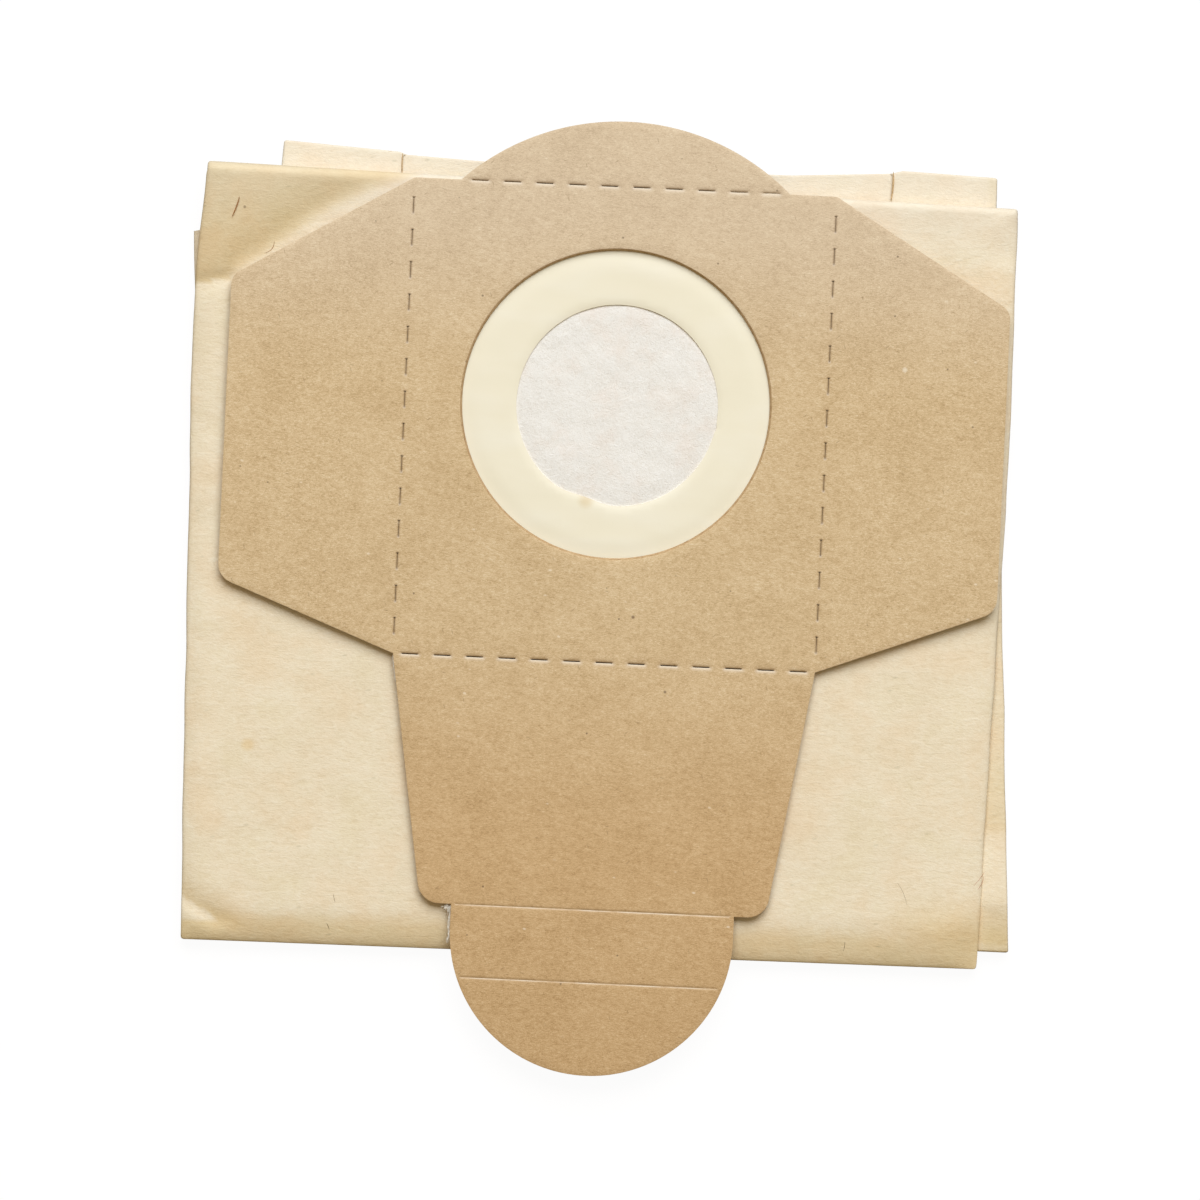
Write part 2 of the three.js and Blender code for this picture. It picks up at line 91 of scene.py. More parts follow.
# Rubber ring
RING_HOLE_R = 0.02495
RING_OUTER_R = (ring_high.x - ring_low.x) / 2
RING_OFF_X = 0.00035
RING_OFF_Y = -0.0003
RING_RAISED = 0.00025  # the part that shows stands up to the card
TISSUE_BULGE = 0.00102  # how far the tissue stands up into the ring's hole
TISSUE_REACH = RING_HOLE_R + 0.003  # how far from the inlet's middle the tissue is seen

# Paper bag: the front panel, the head panel behind it, and the tail panel at the bottom of the pile
FRONT_WIDTH = 0.2006
FRONT_SHIFT = -0.0031
FRONT_BULGE_LEFT = 0.0019
FRONT_BULGE_RIGHT = 0.0006
BOTTOM_TAPER_LEFT = 0.0019
BOTTOM_TAPER_RIGHT = 0.0017
TOP_FOLD = 0.0543
TOP_FOLD_SLOPE = -0.013
BOTTOM_FOLD = 0.1363
BOTTOM_FOLD_SLOPE = 0.008
HEAD_WIDTH = 0.1988
HEAD_LEFT = -0.1063
HEAD_CORNER_Y = 0.0377
HEAD_TILT = math.radians(3.65)
HEAD_END = 0.131
HEAD_TUCK = 0.0038
HEAD_CORNER_STEP = 0.001
TAIL_END = 0.0604
TAIL_END_LEFT = -0.0852
TAIL_END_RIGHT = 0.0917
# The tail panel's closed end, from left to right: the folded-in sides stand out past the middle
TAIL_END_LINE = [
    (-0.0852, 0.0618), (-0.0561, 0.0602), (-0.0551, 0.0596), (-0.0363, 0.0588),
    (0.0404, 0.0588), (0.0655, 0.0604), (0.0684, 0.0612), (0.0915, 0.0605),
]
SIDE_LEFT = 0.0297
SIDE_RIGHT = 0.026
FRONT_LAYER = 0.0014
BACK_LAYER = 0.0008
SIDE_LAYER = 0.0006
SIDE_SLOT = 0.0003
SINK_LEVEL = 0.0039  # the front panel is pressed down towards this level, which it never reaches
BOTTOM_SINK = 0.002  # how far its face sinks at the bottom fold
BOTTOM_SINK_REACH = (0.0104, 0.0125)  # and from how far away, at the left and at the right
SIDE_SINK = 0.001
SIDE_SINK_REACH = 0.0055
EAR_LINE = (-0.107, -0.1235), (-0.0928, -0.1319)  # the crease across the lower left corner
# Dents in the front panel: from, to, depth, how far they reach to their left and right, softness
DENTS = [
    (*EAR_LINE, 0.0011, (0.0075, 0.0045), 0.0003),
    ((-0.109, 0.0240), (-0.0965, 0.0274), 0.0005, (0.0024, 0.0044), 0.0002),
    ((0.0985, 0.0427), (0.0935, 0.0415), 0.00025, (0.006, 0.004)),
    ((0.0985, -0.1345), (0.0975, -0.135), 0.0018, (0.0165, 0.0165)),
    ((-0.107, -0.034), (-0.0985, -0.0335), 0.00022, (0.006, 0.006)),
    ((-0.107, -0.012), (-0.101, -0.009), 0.00014, (0.006, 0.006)),
]
# Ridges, which are dents with a depth below zero
RIDGES = [
    ((0.0985, 0.0545), (0.0925, 0.0484), -0.0003, (0.004, 0.0032)),
    ((0.0995, -0.119), (0.085, -0.127), -0.0004, (0.012, 0.018), 0.002),
]
# The dents of the head panel's right side, which peeps out beside the front panel, by place along Y
HEAD_DENTS = [(-0.134, -0.0004), (-0.119, 0.0015), (-0.1002, 0.0), (-0.0985, 0.0002), (-0.08, 0.0)]
TAIL_DENT = (-0.062, 0.0602), (-0.0555, 0.0585), 0.00012, (0.002, 0.0032), 0.0003
EDGE_WOBBLE = 0.00022  # of the side folds
HEAD_AIR = 0.0004
TAIL_AIR = 0.0003
TAIL_SIDE_TOP = 0.00148  # the free edges of the tail panel's folded-in sides
BAG_WALL = 0.00025
BAG_HOLE_R = 0.032
GLUE_GAP = 0.0003
INNER_PLY_MARGIN = 0.004
CREASE_CLEARANCE = 0.00936  # from the crease to the hollow
DENT_CLEARANCE = 0.01  # the hollow's corner is cut off beside the dent at the lower left

# How the folds are pressed. A power of 2 is round, and more is squarer.
SIDE_FOLD_SQUARENESS = 3.2
END_FOLD_SQUARENESS = 4
TOP_FOLD_SQUARENESS = 2.8
END_ROUNDING = 0.0005  # the last of a closed end, where its corners are round and its layers pressed
END_TAPER = 0.3  # of the layer's thickness, lost at the very end
FREE_EDGE = 0.003  # the last of a folded-in side, which lies down on the panel
FREE_EDGE_DROP = 0.8  # of the slot
FREE_EDGE_THINNING = 0.55  # of the layer
THINNED_OUTSIDE = 0.6  # the share of that on the side that faces out
TAIL_DIP_REACH = 0.007  # from here to its end, the tail follows TAIL_END_LINE

# The crease in the front panel's upper left corner, beside the card's slant
CREASE_OFFSET = 0.0034
CORNER_LIFT = math.radians(10.5)
CREASE_SOFTNESS = 0.0022  # the distance over which the paper bends up
STEEP_AT = 0.0044  # how far from the crease it is steepest
STEEP_MORE = 0.16  # how much steeper it is there, as rise over run
SHARP_START = 0.005  # at its left end the crease is sharp, as if the bend had begun this far before
# How far the crease bows up from the line of the card's slant, from left to right
CREASE_BOW = [
    (-0.1057, 0.003), (-0.0967, -0.0004), (-0.0885, 0.0003), (-0.083, 0.0014),
    (-0.0728, 0.0028), (-0.0648, 0.0023), (-0.0566, 0.0009), (-0.052, 0.0),
]

# Where the paper gets painted shade, which makes it warmer in colour
CORNER_SHADE_POWER = 0.4  # of the standing corner's steepness
FOLD_SHADE = 0.82
FOLD_SHADE_SHARES = (0.1, 0.62)  # of the way to the bottom fold, from none to all
LOW_RIGHT_SHADE = (0.064, 0.09), (-0.116, -0.1285)  # along X and along Y, from none to all
EAR_SHADE = 0.8
EAR_SHADE_REACH = 0.009
HEAD_SHADE_X = 0.09
HEAD_SHADE = [(-0.134, 0.66), (-0.1215, 0.57), (-0.1195, 0), (-0.1025, 0), (-0.1015, 0.6), (-0.07, 0.25)]

# Stains and specks: x, y, radius
BOARD_SPECKS = (0.00665, -0.0523, 0.0006), (0.0154, -0.0704, 0.0005)
BOARD_SCUFF = (0.0709, 0.0118, 0.0009)
PAPER_STAIN = (-0.0871, -0.0882, 0.0022)
PAPER_SPECK = (-0.0938, 0.0445, 0.0005)

# Light and camera
KEY_ELEVATION = math.radians(48)
KEY_AZIMUTH = math.radians(6)
KEY_DISTANCE = 3.2
KEY_WIDTH = 3.0
KEY_HEIGHT = 2.4
KEY_POWER = 122
KEY_COLOR = (0.94, 1.01, 1.127)
FILL = 0.25
FILL_COLOR = (1.18, 0.97, 0.62)
FLOOR_GLOW = 0.95
FLOOR_COLOR = (0.075, 0.069, 0.063)
CAMERA_DISTANCE = 2.5
VIEW_WIDTH = 0.2964  # of the card's top, across the whole picture
VIEW_X = -0.00169
VIEW_Y = -0.04844
VIEW_TURN = math.radians(2.65)

# How finely the meshes are divided
ARC_STEP = 0.0009
CARD_STEP = 0.0022
RING_STEP = 0.0015
TISSUE_STEP = 0.0007
HOLLOW_STEP = 0.004
FOLD_TURNS = 18
ROUND_TURNS = 9
SIDE_COLUMNS = 9
BACK_COLUMNS = 36
FREE_EDGE_COLUMNS = 4
FACE_COLUMNS = 20  # across the middle of a panel
SIDE_FACE_COLUMNS = 53  # and across each side of it
SIDE_FACE_WIDTH = 0.062
END_ROW = 0.00012
FINE_ROW = 0.001
CORNER_ROW = 0.0003
TAIL_ROW = 0.0006
TAIL_FINE = 0.009
FRONT_ROW = 0.0022  # where the front panel is flat
BACK_ROW = 0.003
CREASED_ABOVE = 0.014  # the front panel is divided finely above this, and below the next
CREASED_BELOW = -0.103
EDGE_GUIDES = (0.00012, 0.0004)
CUT_GUIDES = (0.00013, 0.00032, 0.0006, 0.001)
UPRIGHT_CUT_GUIDES = (0.0002, 0.0005)
SCORE_GUIDES = (-0.0007, -0.00032, -0.00013, 0, 0.00013, 0.00032, 0.0007)
RING_GUIDES = (0.00008, 0.00022, 0.0006)
# How far the points of a mesh's inside stay away
EDGE_CLEARANCE = 0.0009
CUT_CLEARANCE = 0.0015
SCORE_CLEARANCE = 0.0014
RING_CLEARANCE = 0.0011

# Levels and places worked out from the sizes
back_reach = BACK_LAYER / 2 + SIDE_SLOT + SIDE_LAYER
front_reach = FRONT_LAYER / 2 + SIDE_SLOT + SIDE_LAYER
tail_z = BACK_LAYER / 2
head_z = tail_z + back_reach + TAIL_AIR + BACK_LAYER / 2
front_z = head_z + back_reach + HEAD_AIR + front_reach
paper_top_z = front_z + FRONT_LAYER / 2
card_top_z = CARD_Z + BOARD
sink_room = paper_top_z - SINK_LEVEL
wing_x = CARD_WIDTH / 2
flap_end_y = -FLAP_END
tongue_middle_y = -TONGUE_END + TONGUE_R
score_y = flap_end_y - SCORE_SPACING
front_left = FRONT_SHIFT - FRONT_WIDTH / 2
front_right = FRONT_SHIFT + FRONT_WIDTH / 2
top_radius = (front_z - head_z) / 2
bottom_radius = (front_z - tail_z) / 2
top_middle_y = TOP_FOLD - top_radius - FRONT_LAYER / 2
bottom_middle_y = -BOTTOM_FOLD + bottom_radius + FRONT_LAYER / 2


# Shapes in the plane

def unit(vector):
    return vector / np.linalg.norm(vector)


def arc(x, y, radius, begin, end, step=ARC_STEP):
    count = max(4, math.ceil(abs(end - begin) * radius / step))
    angles = np.linspace(begin, end, count + 1)
    return np.column_stack([x + radius * np.cos(angles), y + radius * np.sin(angles)])


def circle(x, y, radius, step=ARC_STEP):
    return arc(x, y, radius, 0, 2 * math.pi, step)[:-1]


def rounded(corners):
    """Points through corners (x, y, radius), each rounded by its radius where it has one."""
    points = []
    for i, (x, y, radius) in enumerate(corners):
        corner = np.array([x, y])
        if not radius:
            points.append(corner[None])
            continue
        back = unit(np.array(corners[i - 1][:2]) - corner)
        on = unit(np.array(corners[(i + 1) % len(corners)][:2]) - corner)
        half = math.acos(back @ on) / 2
        middle = corner + unit(back + on) * radius / math.sin(half)
        start = corner + back * radius / math.tan(half) - middle
        begin = math.atan2(start[1], start[0])
        turn = math.copysign(math.pi - 2 * half, on[0] * back[1] - on[1] * back[0])
        points.append(arc(middle[0], middle[1], radius, begin, begin + turn, ARC_STEP / 2))
    return np.vstack(points)


def divided(loop, step):
    """The closed loop with its long edges divided into steps."""
    points = []
    for start, end in zip(loop, np.roll(loop, -1, axis=0)):
        count = max(1, math.ceil(np.linalg.norm(end - start) / step))
        points += [start + (end - start) * i / count for i in range(count)]
    return np.array(points)


def offset(loop, distance):
    """The loop moved to its left by a distance, mitred at its corners."""
    before = loop - np.roll(loop, 1, axis=0)
    after = np.roll(loop, -1, axis=0) - loop
    before /= np.linalg.norm(before, axis=1)[:, None]
    after /= np.linalg.norm(after, axis=1)[:, None]
    normal = np.column_stack([-(before + after)[:, 1], (before + after)[:, 0]])
    normal /= np.linalg.norm(normal, axis=1)[:, None]
    side = np.column_stack([-after[:, 1], after[:, 0]])
    share = np.maximum(0.5, np.sum(normal * side, axis=1))
    return loop + normal * (distance / share)[:, None]


def distance_to(loops, x, y):
    """Distance from each point to the nearest edge of the closed loops."""
    nearest = np.full(len(x), np.inf)
    for loop in loops:
        for (ax, ay), (bx, by) in zip(loop, np.roll(loop, -1, axis=0)):
            run_x, run_y = bx - ax, by - ay
            share = ((x - ax) * run_x + (y - ay) * run_y) / (run_x**2 + run_y**2)
            share = np.clip(share, 0, 1)
            nearest = np.minimum(nearest, np.hypot(x - ax - share * run_x, y - ay - share * run_y))
    return nearest


def enclosed(loops, x, y):
    """Whether each point lies inside an odd number of the closed loops."""
    odd = np.zeros(len(x), bool)
    for loop in loops:
        for (ax, ay), (bx, by) in zip(loop, np.roll(loop, -1, axis=0)):
            if ay != by:
                odd ^= ((ay > y) != (by > y)) & (x < ax + (y - ay) * (bx - ax) / (by - ay))
    return odd


def grid(low, high, step):
    xs = np.arange(low[0], high[0], step)
    ys = np.arange(low[1], high[1], step)
    x, y = np.meshgrid(xs, ys)
    x = x + (np.arange(len(ys)) % 2)[:, None] * step / 2
    return np.column_stack([x.ravel(), y.ravel()])


def squared(x, y, power):
    """A point of the unit circle moved out to a rounder square of the given power. 2 leaves the circle."""
    reach = (np.abs(x) ** power + np.abs(y) ** power) ** (-1 / power)
    return x * reach, y * reach


def smooth(edge_low, edge_high, value):
    share = np.clip((value - edge_low) / (edge_high - edge_low), 0, 1)
    return share * share * (3 - 2 * share)


def between(pairs, position):
    """Straight lines between (position, value) pairs."""
    return np.interp(position, *zip(*pairs))


def waves(x, y, size, seed):
    """Smooth noise from about -1 to 1, with bumps of about the given size."""
    values = [
        noise.fractal(Vector((a / size, b / size, seed)), 1.0, 2.0, 2)
        for a, b in zip(np.ravel(x), np.ravel(y))
    ]
    return np.array(values).reshape(np.shape(x))


# Meshes

def mesh_object(name, points, faces, sharp=40):
    mesh = bpy.data.meshes.new(name)
    mesh.from_pydata(np.asarray(points).tolist(), [], [list(map(int, f)) for f in faces])
    mesh.validate()
    mesh.shade_smooth()
    mesh.set_sharp_from_angle(angle=math.radians(sharp))
    piece = bpy.data.objects.new(name, mesh)
    bpy.context.scene.collection.objects.link(piece)
    return piece


def flat_mesh(edges, guides, inner):
    """Points and triangles that fill the edge loops, with guide loops and lines kept as edges."""
    points = []
    links = []
    for loop in edges + [g for g, closed in guides if closed]:
        first = len(points)
        points += [Vector(p) for p in loop]
        links += [(first + i, first + (i + 1) % len(loop)) for i in range(len(loop))]
    for line in [g for g, closed in guides if not closed]:
        first = len(points)
        points += [Vector(p) for p in line]
        links += [(first + i, first + i + 1) for i in range(len(line) - 1)]
    points += [Vector(p) for p in inner]
    found = delaunay_2d_cdt(points, links, [], 0, 1e-7)
    flat = np.array([tuple(p) for p in found[0]])
    faces = np.array([f for f in found[2] if len(f) == 3])
    middle = flat[faces].mean(axis=1)
    faces = faces[enclosed(edges, middle[:, 0], middle[:, 1])]
    a, b, c = (flat[faces[:, i]] for i in range(3))
    turn = (b[:, 0] - a[:, 0]) * (c[:, 1] - a[:, 1]) - (b[:, 1] - a[:, 1]) * (c[:, 0] - a[:, 0])
    faces[turn < 0] = faces[turn < 0][:, ::-1]
    used, index = np.unique(faces, return_inverse=True)
    return flat[used], index.reshape(faces.shape)


def slab(name, flat, faces, top, bottom, sharp=40, flat_below=None):
    """A sheet with the given top and bottom heights over a flat mesh. Its walls take the second material."""
    count = len(flat)
    below = flat if flat_below is None else flat_below
    points = np.vstack([np.column_stack([flat, top]), np.column_stack([below, bottom])])
    sides = np.vstack([faces[:, [0, 1]], faces[:, [1, 2]], faces[:, [2, 0]]])
    known = {tuple(e) for e in sides.tolist()}
    rim = [(a, b) for a, b in sides.tolist() if (b, a) not in known]
    walls = [(b, a, a + count, b + count) for a, b in rim]
    under = faces[:, ::-1] + count
    piece = mesh_object(name, points, faces.tolist() + under.tolist() + walls, sharp)
    slots = np.zeros(len(piece.data.polygons), np.int32)
    slots[-len(walls):] = 1
    piece.data.polygons.foreach_set("material_index", slots)
    return piece


def paint(piece, name, values):
    """Stores one number for each point of the mesh."""
    attribute = piece.data.attributes.new(name, "FLOAT", "POINT")
    attribute.data.foreach_set("value", np.asarray(values, np.float32))


# Materials

class Nodes:
    """A tree that nodes are added to."""

    def __init__(self, tree):
        self.nodes, self.links = tree.nodes, tree.links

    def put(self, socket, value):
        if isinstance(value, bpy.types.NodeSocket):
            self.links.new(value, socket)
        else:
            socket.default_value = value

    def add(self, kind, sockets=(), **settings):
        """The outputs of a new node. The sockets, by name or number, are given values or links."""
        node = self.nodes.new("ShaderNode" + kind)
        for name, value in settings.items():
            setattr(node, name, value)
        for name, value in dict(sockets).items():
            self.put(node.inputs[name], value)
        return node.outputs


class Shader(Nodes):
    """One material, with what its colour and its relief are made of."""

    def __init__(self, name, roughness):
        self.material = bpy.data.materials.new(name)
        self.material.use_nodes = True
        super().__init__(self.material.node_tree)
        self.surface = self.nodes["Principled BSDF"]
        self.surface.inputs["Roughness"].default_value = roughness
        self.place = self.add("TexCoord")["Object"]

    def stretched(self, x=1.0, y=1.0, turn=0.0, shift=0.0):
        """Object coordinates turned about Z and then stretched, so that noise grows long along X or Y."""
        turn = (0, 0, math.radians(turn))
        turned = self.add("Mapping", {"Vector": self.place, "Rotation": turn, "Location": (shift,) * 3})
        return self.add("Mapping", {"Vector": turned["Vector"], "Scale": (1 / x, 1 / y, 1)})["Vector"]

    def noise(self, size, vector=None, detail=2.0, roughness=0.5, distortion=0.0):
        return self.add("TexNoise", {
            "Vector": vector or self.place, "Scale": 1 / size,
            "Detail": detail, "Roughness": roughness, "Distortion": distortion,
        })["Fac"]

    def along_y(self):
        return self.add("SeparateXYZ", {"Vector": self.place})["Y"]

    def flecks(self, size, vector, core, edge, none, full):
        """Scattered flecks: 1 in their middle, fading to 0 at their edge. Each has a random number, and those
        with less than none don't show."""
        cells = self.add("TexVoronoi", {"Vector": vector or self.place, "Scale": 1 / size})
        pick = self.add("SeparateColor", {"Color": cells["Color"]})["Red"]
        disc = self.remap(cells["Distance"], core, edge, 1, 0)
        return self.calc("MULTIPLY", disc, self.remap(pick, none, full))

    def remap(self, value, low, high, to_low=0.0, to_high=1.0):
        return self.add("MapRange", {
            "Value": value, "From Min": low, "From Max": high, "To Min": to_low, "To Max": to_high,
        }, interpolation_type="SMOOTHSTEP")["Result"]

    def calc(self, operation, a, b=0.0):
        return self.add("Math", {0: a, 1: b}, operation=operation)[0]

    def total(self, *terms):
        """0.5 plus each noise's swing times its weight, from (noise, weight) pairs."""
        value = 0.5
        for term, weight in terms:
            swing = self.calc("MULTIPLY", self.calc("SUBTRACT", term, 0.5), weight)
            value = self.calc("ADD", swing, value)
        return value

    def ramp(self, value, stops):
        """A colour ramp through (position, linear colour) stops."""
        node = self.nodes.new("ShaderNodeValToRGB")
        elements = node.color_ramp.elements
        while len(elements) < len(stops):
            elements.new(0.5)
        for element, (position, color) in zip(elements, stops):
            element.position = position
            element.color = (*color, 1)
        self.put(node.inputs["Fac"], value)
        return node.outputs["Color"]

    def mix(self, share, *colors, blend="MIX"):
        first, second = (c if isinstance(c, bpy.types.NodeSocket) else (*c, 1) for c in colors)
        sockets = {"Factor": share, "A": first, "B": second}
        return self.add("Mix", sockets, data_type="RGBA", blend_type=blend)["Result"]

    def tinted(self, color, mask, share, tint, blend="MIX"):
        """The colour with a share of the tint where the mask is 1."""
        return self.mix(self.calc("MULTIPLY", mask, share), color, tint, blend=blend)

    def attribute(self, name):
        return self.add("Attribute", attribute_name=name)["Fac"]

    def spot(self, x, y, radius, core=0.3):
        """1 round a point of the plane, fading to 0 at the radius."""
        flat = self.add("VectorMath", {0: self.place, 1: (1, 1, 0)}, operation="MULTIPLY")[0]
        away = self.add("VectorMath", {0: flat, 1: (x, y, 0)}, operation="DISTANCE")["Value"]
        return self.remap(away, core * radius, radius, 1.0, 0.0)

    def finish(self, color, relief, depth):
        """Links the colour, and a relief of the given depth in metres."""
        bump = self.add("Bump", {"Strength": 1.0, "Distance": depth, "Height": relief})
        self.put(self.surface.inputs["Base Color"], color)
        self.put(self.surface.inputs["Normal"], bump["Normal"])
        return self.material


def linear(red, green, blue):
    """An sRGB colour from 0 to 255 as linear light."""
    return tuple(
        v / 12.92 if v <= 0.04045 else ((v + 0.055) / 1.055) ** 2.4
        for v in (red / 255, green / 255, blue / 255)
    )


def kraft_board():
    s = Shader("kraft_board", 0.86)
    fibre_a = s.noise(0.0003, s.stretched(3.2, 0.9, 3), 3, 0.6, 0.3)
    fibre_b = s.noise(0.0003, s.stretched(2.4, 0.8, -14, 0.31), 3, 0.6, 0.3)
    grain = s.noise(0.0002, None, 2, 0.7)
    streak = s.noise(0.00018, s.stretched(3.6, 0.8, 6, 0.9), 2, 0.7)
    mottle = s.noise(0.0011, s.stretched(1.8, 1.0, 5, 0.17), 3, 0.55)
    cloud = s.noise(0.013, None, 3, 0.5)
    fibres = (fibre_a, 0.5), (fibre_b, 0.4), (streak, 0.55)
    tone = s.total(*fibres, (grain, 0.7), (mottle, 0.34), (cloud, 0.22))
    color = s.ramp(tone, [
        (0.12, linear(157, 124, 82)),
        (0.36, linear(195, 165, 119)),
        (0.5, linear(211, 182, 138)),
        (0.64, linear(222, 196, 154)),
        (0.88, linear(240, 222, 188)),
    ])
    along_y = s.along_y()
    # Painted shade darkens the card towards the tongue's tip, and a painted sheen makes it paler towards the
    # top
    color = s.tinted(color, s.remap(along_y, -0.045, -0.12), 0.55, linear(236, 214, 184), "MULTIPLY")
    color = s.tinted(color, s.remap(along_y, 0.0, 0.052), 0.2, (0.8, 0.75, 0.7))
    color = s.tinted(color, s.flecks(0.0034, None, 0.05, 0.1, 0.92, 0.94), 0.62, linear(84, 60, 38))
    pale = s.flecks(0.0031, s.stretched(1.6, 1, 8, 0.4), 0.04, 0.12, 0.8, 0.86)
    color = s.tinted(color, pale, 0.5, linear(247, 232, 205))
    for turn, shift in ((15, 0.7), (-40, 0.2), (72, 0.5)):
        hair = s.flecks(0.0017, s.stretched(5, 1, turn, shift), 0.04, 0.1, 0.5, 0.75)
        color = s.tinted(color, hair, 0.4, linear(132, 100, 62))
    for speck in BOARD_SPECKS:
        color = s.tinted(color, s.spot(*speck), 0.7, linear(96, 68, 42))
    color = s.tinted(color, s.spot(*BOARD_SCUFF), 0.6, linear(244, 230, 204))
    # Painted highlight below the cuts and score lines, and painted shade above them and round the upright
    # cuts
    color = s.mix(s.attribute("painted_highlight"), color, linear(238, 222, 198))
    color = s.mix(s.attribute("painted_shade"), color, linear(122, 88, 50))
    return s.finish(color, s.total((fibre_a, 0.5), (grain, 0.6), (mottle, 0.5)), 0.00006)


def board_edge():
    s = Shader("board_edge", 0.9)
    layers = s.add("Mapping", {"Vector": s.place, "Scale": (0.2, 0.2, 1.6)})["Vector"]
    ply = s.noise(0.00025, layers, 3, 0.6)
    grain = s.noise(0.0004, None, 2, 0.6)
    color = s.ramp(s.total((ply, 0.9), (grain, 0.4)), [
        (0.25, linear(140, 104, 66)),
        (0.5, linear(188, 154, 110)),
        (0.75, linear(214, 188, 148)),
    ])
    # Painted highlight on the walls below the cuts and score lines
    color = s.mix(s.attribute("painted_highlight"), color, linear(226, 218, 206))
    return s.finish(color, ply, 0.0001)


def filter_paper():
    s = Shader("filter_paper", 0.84)
    grain = s.noise(0.0004, s.stretched(2.6, 1.0, 4), 3, 0.55, 0.4)
    wisps = s.noise(0.0011, s.stretched(2.8, 1.0, -3, 0.21), 3, 0.6, 0.6)
    cloud = s.noise(0.009, s.stretched(1.3, 1.0), 3, 0.55)
    warmth = s.noise(0.014, s.stretched(1.0, 1.0, 0, 0.53), 3, 0.6)
    fine = s.noise(0.0002, s.stretched(2.2, 0.9, 7, 0.8), 2, 0.7)
    tone = s.total((fine, 0.34), (grain, 0.32), (wisps, 0.34), (cloud, 0.2))
    color = s.ramp(tone, [
        (0.15, linear(208, 188, 148)),
        (0.38, linear(229, 211, 177)),
        (0.5, linear(237, 221, 190)),
        (0.64, linear(243, 230, 203)),
        (0.85, linear(250, 240, 218)),
    ])
    color = s.mix(s.remap(warmth, 0.42, 0.72, 0, 0.24), color, linear(252, 226, 196), blend="MULTIPLY")
    color = s.mix(s.remap(warmth, 0.5, 0.3, 0, 0.2), color, linear(243, 240, 216), blend="MULTIPLY")
    # Painted sheen: the paper grows paler towards the top of the bag
    color = s.mix(s.remap(s.along_y(), 0.034, 0.056, 0, 0.3), color, (0.84, 0.8, 0.72))
    # Painted shade: warmer and darker where the paper's face turns away from the light
    color = s.mix(s.attribute("painted_paper_shade"), color, (0.926, 0.85, 0.683), blend="MULTIPLY")
    dash = s.flecks(0.0026, s.stretched(2.6, 1, -6, 0.3), 0.04, 0.14, 0.6, 0.75)
    color = s.tinted(color, dash, 0.3, linear(176, 166, 132))
    color = s.tinted(color, s.spot(*PAPER_STAIN), 0.35, linear(226, 186, 110))
    color = s.tinted(color, s.spot(*PAPER_SPECK), 0.6, linear(120, 92, 62))
    return s.finish(color, s.total((fine, 0.3), (grain, 0.5), (wisps, 0.7), (cloud, 0.3)), 0.00012)


def seal_rubber():
    s = Shader("seal_rubber", 0.42)
    cloud = s.noise(0.009, s.stretched(2.2, 0.8, 4), 2, 0.5)
    grain = s.noise(0.0003, None, 1, 0.5)
    color = s.ramp(s.total((cloud, 0.5), (grain, 0.06)), [
        (0.25, linear(239, 230, 202)),
        (0.5, linear(242, 233, 207)),
        (0.75, linear(245, 238, 217)),
    ])
    for x, y, radius, share in ((-0.0063, -0.0241, 0.0028, 0.4), (-0.0149, -0.0189, 0.0016, 0.25)):
        color = s.tinted(color, s.spot(x, y, radius, 0.1), share, linear(208, 176, 112))
    s.surface.inputs["Specular IOR Level"].default_value = 0.3
    return s.finish(color, cloud, 0.00008)


def inner_tissue():
    s = Shader("inner_tissue", 0.95)
    wool = s.noise(0.0007, None, 4, 0.65, 0.8)
    cloud = s.noise(0.006, None, 3, 0.55)
    warmth = s.noise(0.009, s.stretched(1, 1, 0, 0.4), 3, 0.6)
    fine = s.noise(0.00024, None, 3, 0.7, 0.5)
    color = s.ramp(s.total((fine, 0.55), (wool, 0.45), (cloud, 0.16)), [
        (0.2, linear(222, 212, 197)),
        (0.5, linear(244, 239, 229)),
        (0.8, linear(251, 248, 243)),
    ])
    color = s.mix(s.remap(warmth, 0.45, 0.7, 0, 0.25), color, linear(252, 234, 222), blend="MULTIPLY")
    color = s.tinted(color, s.flecks(0.0009, None, 0.06, 0.18, 0.8, 0.9), 0.35, linear(176, 152, 120))
    return s.finish(color, s.total((fine, 0.5), (wool, 0.8), (cloud, 0.4)), 0.0002)


def loose_fibre(name, red, green, blue):
    s = Shader(name, 0.8)
    streak = s.noise(0.0005, None, 2, 0.5)
    dark = tuple(0.6 * v for v in linear(red, green, blue))
    color = s.ramp(streak, [(0.3, dark), (0.7, linear(red, green, blue))])
    return s.finish(color, streak, 0.00002)


# Collar card

def card_rise(x, y):
    """How far the card stands above its flat frame. Its panels bend along their hinge lines."""
    left = np.maximum(0, -x - FRAME_X) * math.tan(LEFT_WING_LIFT)
    right = np.maximum(0, x - FRAME_X) * math.tan(RIGHT_WING_LIFT)
    tongue = np.maximum(0, flap_end_y - y) * math.tan(TONGUE_LIFT)
    tip = np.maximum(0, score_y - y) * math.tan(TIP_LIFT)
    return left + right + tongue + tip


